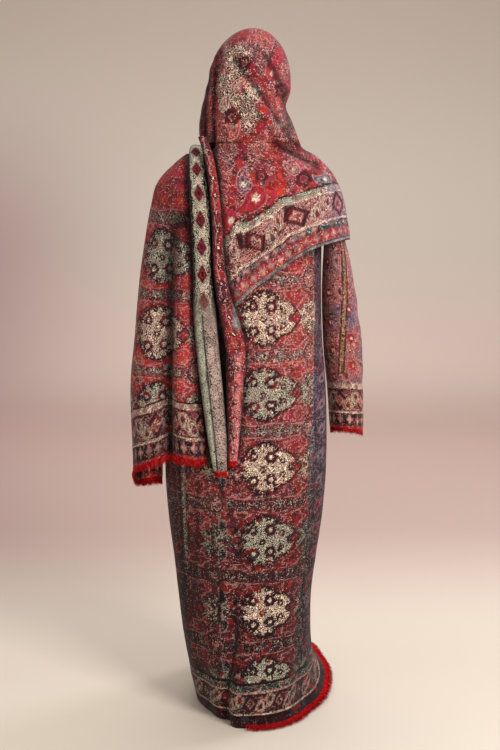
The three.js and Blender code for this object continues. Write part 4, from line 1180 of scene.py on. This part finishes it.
SHAWL_FIGURES = [  # kind, x, z, size, turn in degrees, body, rim
    ("boteh", 5, 1275, 46, 150, "crimson", "rose"),
    ("boteh", -35, 1440, 30, 190, "scarlet", "blush"),
    ("boteh", -18, 1330, 34, 20, "violet", "blush"),
    ("boteh", -45, 1250, 34, 10, "crimson", "rose"),
    ("flower", 58, 1318, 24, 0, "scarlet", "ochre"),
    ("flower", 26, 1336, 15, 0, "maroon", "sage"),
    ("flower", 122, 1330, 18, 0, "maroon", "blush"),
    ("boteh", 165, 1325, 26, 100, "violet", "grey"),
    ("boteh", 92, 1352, 24, 80, "maroon", "blush"),
    ("boteh", -20, 1545, 30, 330, "crimson", "cream"),
    ("boteh", 14, 1520, 26, 200, "maroon", "cream"),
    ("boteh", -58, 1500, 24, 0, "maroon", "cream"),
    ("flower", -40, 1470, 18, 0, "maroon", "cream"),
    ("flower", -12, 1590, 14, 0, "maroon", "cream"),
    ("boteh", 45, 1575, 28, 30, "crimson", "rose"),
    ("flower", 72, 1530, 16, 0, "maroon", "blush"),
    ("boteh", 62, 1455, 26, 60, "maroon", "blush"),
]


def shawl_field(points):
    """The shawl's field: crimson with pale flowers, large botehs behind, and pale filigree on the hood."""
    x, y, z = points[..., 0], points[..., 1], points[..., 2]
    cloth = bolt(x.shape, "crimson", "blush", 0.39)
    lay(cloth, cloth_noise(x, z, 110, 31) * 18 + 4, soft=12, ground="maroon")
    lay(cloth, cloth_noise(x, z, 90, 33) * 18 + 10, soft=10, ground="aubergine")
    lay(cloth, cloth_noise(x, z, 64, 35) * 18 + 5, soft=6, ground="crimson", figure=0.24)
    behind = smooth((20 - y) / 30)
    for px, pz, rx, rz in ((-28, 1600, 30, 34), (-30, 1530, 46, 46), (-10, 1470, 34, 30)):
        pale = blob(x - px, z - pz, rx, rz, 5, 0.12)
        lay(cloth, pale + (1 - behind) * FAR, soft=5, ground="maroon", yarn="cream", figure=0.42, clear=True)
    for kind, fx, fz, size, turn, body, rim in SHAWL_FIGURES:
        px, pz = turn_by(x - fx, z - fz, turn)
        away = (1 - behind) * FAR
        if kind == "boteh":
            draw_boteh(cloth, px + away, pz + away, size, 1.0, body, rim)
        else:
            draw_flower(cloth, px + away, pz + away, size, 5, body, rim, "crimson")
    return cloth


NECK_RADIUS = 98.0  # mm, the mean radius of the shawl's ring at the neck

SHAWL_CREASES = [  # width, depth in mm, share of painted shade, line of x and z seen from behind
    (4.0, -2.0, 0.9, [(-76, 1612), (-80, 1560), (-84, 1500), (-84, 1405), (-72, 1330)]),
    (3.6, -2.0, 0.9, [(-88, 1600), (-98, 1540), (-104, 1480), (-103, 1405)]),
    (5.0, -1.5, 0.75, [(-94, 1590), (-110, 1520), (-113, 1440), (-110, 1405)]),
    (4.4, -2.0, 0.75, [(-36, 1596), (-8, 1560), (34, 1512), (58, 1470), (94, 1418), (140, 1386)]),
    (3.2, -1.5, 0.55, [(-22, 1540), (6, 1496), (36, 1450), (70, 1400), (118, 1376), (152, 1366)]),
    (6.0, -1.0, 0.65, [(36, 1606), (66, 1550), (84, 1490), (92, 1440)]),
    (6.0, -1.5, 0.5, [(60, 1404), (110, 1384), (160, 1352)]),
    (3.0, -1.0, 0.4, [(-44, 1480), (-30, 1420), (-2, 1360)]),
]


def crease_shawl(cloth, points):
    """Paints shade into the shawl's dyes in the named creases; returns how far out each point moves there."""
    x, y, z = points[..., 0], points[..., 1], points[..., 2]
    behind = smooth((10 - y) / 30) * smooth((1640 - z) / 40)
    out = 0 * x
    for width, depth, deep, line in SHAWL_CREASES:
        trough = bump(nearest_on(line, x, z), width) * behind
        out = out + depth * trough
        darken_shade_and_dye(cloth, deep * trough)
    return out


HOOD_GRID = {"round": 180, "crown": 0.012, "step": 0.014}  # columns, the first row's v, v between rows


def make_hood():
    """The shawl's hood, with an oval opening in front."""
    columns_round, crown, step = HOOD_GRID["round"], HOOD_GRID["crown"], HOOD_GRID["step"]
    start = FACE["angle"] - FACE["half_angle"]
    turn_stops = np.linspace(start, start + 360, columns_round + 1)
    top, bottom = hood_share(FACE["high"]), hood_share(FACE["low"])
    stretches = ((crown, top), (top, bottom), (bottom, 1))
    v_stops = np.concatenate([[crown], *(steps(low, high, step)[1:] for low, high in stretches)])
    u, v = np.meshgrid(turn_stops, v_stops)
    points = hood_surface(u, v)
    s = np.radians(u) * NECK_RADIUS
    t = -arcs(points, 0, -1)
    cloth = shawl_field(points)
    z = points[..., 2]
    folds = smooth((1650 - z) / 60) * (1.2 * cloth_noise(points[..., 0] * 1.2 + 0.6 * z, z * 0.25, 44, 41))
    # the named creases: folds with painted shade in them
    folds = folds * smooth((z - NECK_Z) / 12) + crease_shawl(cloth, points)
    face_columns = int(round(2 * FACE["half_angle"] / (360 / columns_round)))
    hole = np.zeros((len(v_stops) - 1, columns_round), bool)
    rows = (v_stops[:-1] > top - 1e-6) & (v_stops[:-1] < bottom - 1e-6)
    hole[np.ix_(rows, np.arange(columns_round) < face_columns)] = True
    return sew(
        "shawl_hood", points, cloth, (s, t), head_twill, folds, -1, closed=True, hole=hole
    )


def make_shoulder(pitch):
    """The shawl over back, right shoulder and front, with a slanting border along its lower edge."""
    u, v = np.meshgrid(np.linspace(0, 1, int(1150 / pitch)), np.linspace(0, 1, int(330 / pitch)))
    points = shawl_shoulder(u, v)
    s = arcs(points, 1, 0)
    edge = points[-1]
    tangent = np.gradient(edge, axis=0)
    tangent /= np.maximum(np.linalg.norm(tangent, axis=-1, keepdims=True), 1e-6)
    inward = points - edge[None]
    ahead = (inward * tangent[None]).sum(-1)
    x = points[..., 0]
    e = np.linalg.norm(inward - ahead[..., None] * tangent[None], axis=-1)
    along = s[-1][None] + ahead
    cloth = shawl_field(points)
    draw_border(cloth, e, along - 38, SHAWL_BORDER, pitch=100, deep=134)
    teal = smooth((x - 150) / 50) * smooth((150 - e) / 30) * 0.45
    cloth["yarn"] += (DYE["lilac"] * 1.1 - cloth["yarn"]) * teal[..., None]
    squares = np.where((e > 33) & (e < 50) & (x > 130), np.abs(wrapped(along, 40)) - 9, FAR)
    lay(cloth, squares, ground="teal", yarn="cream", figure=0.25)
    z = points[..., 2]
    folds = 1.4 * cloth_noise(points[..., 0] * 0.8 + 1.1 * z, 0.2 * z, 70, 51) * smooth((NECK_Z - z) / 12)
    folds = folds * smooth(u / 0.04) * smooth((1 - u) / 0.16)
    # pinched folds, the named creases and the cloth beside the edge pleat all get painted shade
    for fx, fz, depth in ((70, 1212, -3.0), (36, 1178, -3.5), (-2, 1180, -2.5)):
        px, pz = turn_by(points[..., 0] - fx, z - fz, -42)
        pinch = bump(px, 3.2) * bump(pz, 16)
        folds = folds + depth * pinch
        darken_shade_and_dye(cloth, 0.55 * pinch)
    folds = folds + crease_shawl(cloth, points)
    darken_shade_and_dye(cloth, pleat_side_shade(EDGE_PLEAT, points, 8, 0.92))
    middle = u.shape[1] // 4
    neck = read_table(SHAWL_SPAN, "z", NECK_Z - NECK_GAP)
    flat_s = np.radians(mix(neck["start"], neck["end"], u)) * NECK_RADIUS
    flat_s = flat_s + arcs(points, 1, middle) - arcs(points, 1, middle)[0]
    flat_t = -arcs(points, 0, 0)
    return sew("shawl_shoulder", points, cloth, (flat_s, flat_t), head_twill, folds, -1)


def make_arm_fall(pitch):
    """The shawl's end over the left sleeve: the robe cloth's rows, with a bordered and fringed lower edge."""
    u, v = np.meshgrid(np.linspace(0, 1, int(640 / pitch)), np.linspace(0, 1, int(800 / pitch)))
    points = arm_fall(u, v)
    lower = u.shape[1] // 3
    s = arcs(points, 1, lower)
    z = points[..., 2]
    e = np.abs(arcs(points, 0, 0))
    cloth = bolt(s.shape, "crimson", "blush", 0.27)
    lay(cloth, cloth_noise(s, z, 140, 61) * 20 + 6, soft=14, ground="maroon")
    lay(cloth, cloth_noise(s, z, 90, 67) * 20 + 4, soft=14, ground="scarlet")
    plain = copied(cloth)
    draw_rows(cloth, -s - 18, z + 35, "scarlet")
    top = smooth((z - 1255) / 26)
    dyed = {key: mix(cloth[key], plain[key], top[..., None]) for key in ("ground", "yarn")}
    take(cloth, plain, top > 0.5)
    cloth.update(dyed)
    draw_border(cloth, e, s + 10, END_BORDER, pitch=74, deep=137)
    ring = read_table(ARM_FALL, "z", z)
    angle = mix(ring["start"], ring["end"], u)
    groove = bump(angle - ring["valley"], 9) * smooth((1280 - z) / 120)
    folds = 1.5 * cloth_noise(s, z * 0.18, 62, 63) * smooth((FALL_TOP - z) / 40) - 3 * groove
    # painted shade in the groove, on the outer left side in front, beside the border pleat, and darker low
    # down
    darken_shade_and_dye(cloth, 0.85 * bump(angle - ring["valley"], 5) * smooth((1290 - z) / 60))
    far_side_shade = smooth((ring["middle"] + 14 - points[..., 0]) / 40 - 1)
    darken_shade_and_dye(cloth, 0.15 * far_side_shade * (points[..., 1] < 0))
    darken_shade_and_dye(cloth, pleat_side_shade(BORDER_PLEAT, points, 8, 0.95))
    darken_shade_and_dye(cloth, 0.3 * smooth((850 - z) / 250))
    return sew("shawl_arm_fall", points, cloth, (s, z), head_twill, folds, -1)


def make_border_pleat():
    """The border that hangs over the shoulder: zigzag diamonds on top, its grey-green reverse below."""
    u, k = np.meshgrid(np.linspace(-1, 1, 26), np.linspace(0, 11, 230))
    points = pleat(BORDER_PLEAT, u, k)
    s = arcs(points, 1, 13)
    z = points[..., 2]
    t = -arcs(points, 0, 0)
    cloth = bolt(s.shape, "grey", "charcoal", 0.34)
    lay(cloth, s + 6, soft=2, ground="sage", yarn="charcoal", figure=0.3)
    lay(cloth, -(s + 4), soft=3, ground="pinkish", yarn="charcoal", figure=0.36)
    rule(cloth, "dark", s + 7)
    rule(cloth, "light", s + 9 + 2 * cloth_noise(z, z, 90, 7))
    top = 1 - smooth((1090 - z) / 120)
    border = bolt(s.shape, "wine", "cream", 0.3)
    lay(border, np.abs(s + 2) - 15, ground="wine", yarn="sage", figure=0.62)
    gem = diamond(s + 1, wrapped(t + 31, 62), 13, 24)
    lay(border, gem, ground="wine", yarn="crimson", figure=0.3, clear=True)
    rule(border, "light", gem)
    rule(border, "light", gem + 6)
    for hook in (1, -1):
        draw_boteh(border, s * hook + 2, wrapped(t, 62) * hook, 9, hook, "maroon", "cream")
    rule(border, "light", s + 16 + 3 * np.sin(t / 7))
    rule(border, "light", s - 17 - 3 * np.sin(t / 8))
    woven = {key: mix(cloth[key], border[key], top[..., None]) for key in ("ground", "yarn")}
    woven["figure"] = mix(cloth["figure"], border["figure"], top)
    take(cloth, border, top > 0.5)
    cloth.update(woven)
    # painted shade down both sides of the pleat
    darken_shade_and_dye(cloth, 0.92 * smooth((np.abs(u - 0.1) - 0.5) / 0.5))
    folds = 0.8 * cloth_noise(s * 2, z * 0.25, 60, 71) * smooth((1 - np.abs(u)) / 0.2)
    return sew("shawl_border_pleat", points, cloth, (s, t), reverse_twill, folds)


def make_edge_pleat():
    """The red pleat beside it, with pale lines along its length and a grey reverse where it turns over."""
    u, k = np.meshgrid(np.linspace(-1, 1, 22), np.linspace(0, 10, 220))
    points = pleat(EDGE_PLEAT, u, k)
    s = arcs(points, 1, 11)
    z = points[..., 2]
    t = -arcs(points, 0, 0)
    cloth = bolt(s.shape, "crimson", "blush", 0.3)
    low = smooth((1040 - z) / 120)
    lay(cloth, cloth_noise(s, z, 90, 81) * 12, soft=6, ground="maroon")
    lay(cloth, np.abs(s - 6) - 6 + (1 - low) * FAR, soft=3, ground="rose", yarn="blush", figure=0.5)
    rule(cloth, "light", s + 4 + 2 * np.sin(t / 9))
    turn_over = blob(points[..., 0] + 26, z - 1024, 14, 34, 3, 0.1)
    lay(cloth, turn_over, soft=2, ground="grey", yarn="teal", figure=0.35, clear=True)
    for offset in (0, 40):
        draw_flower(cloth, s, wrapped(t + offset, 80), 6, 5, "maroon", "cream")
    # painted shade down both sides of the pleat
    darken_shade_and_dye(cloth, 0.92 * smooth((np.abs(u - 0.15) - 0.45) / 0.5))
    folds = 0.7 * cloth_noise(s * 2, z * 0.3, 50, 83) * smooth((1 - np.abs(u)) / 0.2)
    return sew("shawl_edge_pleat", points, cloth, (s, t), head_twill, folds)


shawl_hood = make_hood()
shawl_shoulder_cloth = make_shoulder(4.0)
shawl_arm_fall = make_arm_fall(4.0)
border_pleat_cloth = make_border_pleat()
edge_pleat_cloth = make_edge_pleat()


# Fringes

STRAND_LEVELS = columns("t radius", [(-0.05, 0.62), (0.3, 0.55), (0.65, 0.42), (1.0, 0.16)])  # mm


def fringe_mesh(node, base, outward, hang, seed, per_mm=3.0, length=19, spread=0.25, curl=2.5):
    """Strands along an edge: three-sided tapering tubes on curved paths
    p(t) = base + hang L t + sideways and outward sways that grow with t squared."""
    draw = np.random.default_rng(seed)
    far = arcs(base[None], 1, 0)[0]
    count = int(far[-1] * per_mm)
    at = np.sort(draw.uniform(0, far[-1], count))

    def pick(array):
        """The array's values at each strand, with room for levels and corners."""
        return np.stack([np.interp(at, far, array[:, c]) for c in range(3)], -1)[:, None]

    root, out, down = pick(base), pick(outward), pick(hang)
    side = np.cross(out, down)
    side /= np.maximum(np.linalg.norm(side, axis=-1, keepdims=True), 1e-9)
    size = length * draw.uniform(0.62, 1.0, count)[:, None, None]
    sway = draw.normal(0, spread, count)
    puff = draw.uniform(-0.1, 0.25, count) * curl / 2.5
    tuft = 0.12 * np.sin(at / 3.1) + 0.08 * np.sin(at / 1.3 + 1)
    t = STRAND_LEVELS["t"][:, None]
    aside = size * (sway + tuft)[:, None, None] * t**2
    proud = 0.8 + size * puff[:, None, None] * t**2
    path = root + down * size * t + side * aside + out * proud
    turn = np.arange(3)[:, None] * 2 * np.pi / 3
    around = side[:, :, None] * np.cos(turn) + out[:, :, None] * np.sin(turn)
    ring = path[:, :, None] + around * STRAND_LEVELS["radius"][:, None, None]
    vertices = (ring.reshape(-1, 3) - [0, 0, HOLD_HEIGHT]) / 1000
    tube = np.arange(12).reshape(4, 3)[:, [0, 1, 2, 0]]
    quads = (12 * np.arange(count)[:, None, None] + quad_corners(tube)).reshape(-1, 4)
    obj = fill_mesh(node + "_strands", vertices, quads)
    obj.data.materials.append(wool)
    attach(obj, "root")
    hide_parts(node)
    return obj


HEM_FRINGE = {"from": -9, "to": 236, "height": 8.0, "out": 16, "drop": 5.5}  # degrees round the hem, then mm


def hem_fringe():
    """The hem's frayed end, from the back's middle round to the left front, spread outward on the floor."""
    angle = np.linspace(HEM_FRINGE["from"], HEM_FRINGE["to"], 900)
    height = np.full_like(angle, HEM_FRINGE["height"])
    ahead = robe_tube(angle + 0.2, height) - robe_tube(angle - 0.2, height)
    out = np.stack([ahead[:, 1], -ahead[:, 0], 0 * angle], -1)
    out /= np.linalg.norm(out, axis=-1, keepdims=True)
    base = robe_tube(angle, height) + out * (CLOTH + 0.5)
    hang = out * HEM_FRINGE["out"] - [0, 0, HEM_FRINGE["drop"]]
    hang /= np.linalg.norm(hang, axis=-1, keepdims=True)
    up = np.broadcast_to([0.0, 0.0, 1.0], base.shape)
    return fringe_mesh("fringe_hem", base, up, hang, 101, per_mm=3.4, length=22, spread=0.35, curl=1.8)


def edge_fringe(node, surface, us, vs, row, ahead, facing, seed):
    """The frayed end along one edge row of a surface; the row `ahead` lies next to it, on the cloth."""
    points = surface(*np.meshgrid(us, vs))
    hang = points[row] - points[ahead]
    hang = hang / np.linalg.norm(hang, axis=-1, keepdims=True)
    out = normals(points, facing)[row]
    return fringe_mesh(node, points[row] + out * CLOTH / 2, out, hang, seed)


hem_fringe()
for node, hand, rows, seed in (
    ("fringe_cuff_right", 1, RIGHT_SLEEVE, 103),
    ("fringe_cuff_left", -1, LEFT_SLEEVE, 105),
):
    cuff = functools.partial(sleeve, hand, rows)
    edge_fringe(node, cuff, np.linspace(0, 2, 160), np.array([0.96, 0.985, 1.0]), -1, -2, hand, seed)
border_pleat = functools.partial(pleat, BORDER_PLEAT)
edge_pleat = functools.partial(pleat, EDGE_PLEAT)
for node, surface, us, vs, seed in (
    ("fringe_arm_fall", arm_fall, np.linspace(0, 1, 300), [0, 0.02, 0.04], 107),
    ("fringe_border_pleat", border_pleat, np.linspace(-1, 1, 40), [11, 10.9, 10.8], 109),
    ("fringe_edge_pleat", edge_pleat, np.linspace(-1, 1, 40), [10, 9.9, 9.8], 111),
):
    edge_fringe(node, surface, us, np.array(vs), 0, 1, -1, seed)


# What each cloth was cut as, in metres


def flat_area(obj):
    """The area of one face of a cloth's mesh, in square metres."""
    areas = np.zeros(len(obj.data.polygons))
    obj.data.polygons.foreach_get("area", areas)
    return float(areas.sum())


for cloth, flat, held, rests in (
    (robe_back, (0.66, 1.42), "hung", ["shawl_shoulder_cloth"]),
    (robe_front, (0.72, 1.45), "hung", ["shawl_shoulder_cloth"]),
    (sleeve_right, (0.36, 0.78), "hung", ["robe_back_cloth"]),
    (sleeve_left, (0.33, 0.82), "hung", ["robe_back_cloth"]),
    (shawl_hood, (0.62, 0.4), "draped", ["shawl_shoulder_cloth"]),
    (shawl_shoulder_cloth, (1.2, 0.4), "draped", ["robe_back_cloth"]),
    (shawl_arm_fall, (0.62, 0.86), "draped", ["sleeve_left_cloth"]),
    (border_pleat_cloth, (0.08, 0.88), "hung", ["robe_back_cloth"]),
    (edge_pleat_cloth, (0.06, 0.8), "hung", ["robe_back_cloth"]),
):
    measured = flat_area(cloth)


# The room: a pale floor that sweeps up into a far wall, and soft lamps


PAINTED_LIGHT_STOPS = (  # painted light and shade on a plain pale sweep, along it from the floor's near end to the wall's top
    (0.0, "f8ead8"),
    (0.1, "e6d6c4"),
    (0.22, "c6aa9e"),
    (0.36, "ceb0a4"),
    (0.52, "e8d0c4"),
    (0.68, "ded0c2"),
    (1.0, "b8aa9c"),
)
MAUVE_PAINTED_SHADOW = ((0, -0.3, -2.2), (1, 0.5, 1.6), (2, 0.5, -0.8))  # painted mauve shadow at the left: axis, and where the shadow is none and full


def studio_paint():
    """Matt studio paint, a plain pale sweep with painted light and shade: bright cream floor in front,
    painted rosy shade where it turns up, greyer painted shade up the wall, and a painted mauve shadow at the
    left.
    """
    material, tree, output = blank_material("studio_paint")
    split = add(tree, "SeparateXYZ", {0: add(tree, "TexCoord").outputs["Object"]})
    along = add(tree, "Math", {0: split.outputs[1], 1: split.outputs[2]}, operation="ADD")
    along = add(tree, "MapRange", {"Value": along, "From Min": -2.0, "From Max": 8.0})
    ramp = add(tree, "ValToRGB", {"Fac": along})
    ramp.color_ramp.interpolation = "EASE"
    stops = ramp.color_ramp.elements
    for k, (stop_at, code) in enumerate(PAINTED_LIGHT_STOPS):
        stop = stops[k] if k < 2 else stops.new(stop_at)
        stop.position, stop.color = stop_at, (*rgb(code), 1)
    # the painted mauve shadow, low on the floor behind and to the left
    painted_shadow = 1.0
    for axis, none, full in MAUVE_PAINTED_SHADOW:
        share = {"Value": split.outputs[axis], "From Min": none, "From Max": full}
        share = add(tree, "MapRange", share, interpolation_type="SMOOTHSTEP")
        painted_shadow = add(tree, "Math", {0: share, 1: painted_shadow}, operation="MULTIPLY")
    colour = add(tree, "Mix", {0: painted_shadow, 6: ramp, 7: (*rgb("b49290"), 1)}, data_type="RGBA")
    shader = add(tree, "BsdfPrincipled", {"Base Color": colour.outputs[2], "Roughness": 0.95})
    tree.links.new(shader.outputs[0], output.inputs[0])
    return material


def sweep(material):
    """A floor that turns up into a wall: y runs back, then a quarter circle, then height; x runs across."""
    radius, depth, tall, wide = 2.2, 3.6, 7.0, 9.0
    turn = np.linspace(0, np.pi / 2, 24)
    y = np.concatenate([[-9.0, 0], depth + radius * np.sin(turn), [depth + radius]])
    z = np.concatenate([[0, 0], radius - radius * np.cos(turn), [tall]])
    x = np.linspace(-wide, wide, 5)
    grid_x, grid_y = np.meshgrid(x, y)
    grid_z = np.broadcast_to(z[:, None], grid_x.shape)
    index = np.arange(grid_x.size).reshape(grid_x.shape)
    quads = quad_corners(index)
    vertices = np.stack([grid_x, grid_y, grid_z - HOLD_HEIGHT / 1000 - 0.0005], -1).reshape(-1, 3)
    obj = fill_mesh("studio_sweep", vertices, quads)
    obj.data.materials.append(material)
    return obj


sweep(studio_paint())


def lamp(name, place, aim, size, power, colour):
    """A square soft box at a place, turned to its aim."""
    light = bpy.data.lights.new(name, "AREA")
    light.size, light.energy, light.color = size, power, rgb(colour)
    obj = bpy.data.objects.new(name, light)
    bpy.context.collection.objects.link(obj)
    direction = np.array(aim, float) - np.array(place, float)
    yaw = math.atan2(direction[0], -direction[1])
    tilt = math.atan2(math.hypot(direction[0], direction[1]), -direction[2])
    obj.location, obj.rotation_euler = place, (tilt, 0, yaw + math.pi)
    return obj


lamp("key_right", (1.9, -2.6, 1.5), (0, 0, -0.1), 1.2, 96, "fffcf8")
lamp("fill_left", (-2.6, -1.8, 0.8), (0, 0, -0.5), 2.0, 7, "fff6f4")
lamp("rim_right", (2.3, 1.3, 0.9), (0.1, 0, -0.1), 1.0, 34, "eef2ff")
lamp("wall_wash", (0, 1.5, 2.6), (0, 4.5, -0.6), 3.0, 95, "ffffff")

world = bpy.data.worlds.new("studio_air")
world.use_nodes = True
world.node_tree.nodes["Background"].inputs[0].default_value = (*rgb("ffffff"), 1)
world.node_tree.nodes["Background"].inputs[1].default_value = 0.34
bpy.context.scene.world = world

camera = bpy.data.cameras.new("camera")
camera.lens, camera.sensor_width = 63.9, 36
camera_object = bpy.data.objects.new("camera", camera)
bpy.context.collection.objects.link(camera_object)
camera_object.location = (0, -3.2, 1.45 - HOLD_HEIGHT / 1000)
camera_object.rotation_euler = (math.radians(90 - 10.6), 0, 0)
bpy.context.scene.camera = camera_object

bpy.context.scene.view_settings.view_transform = "Standard"
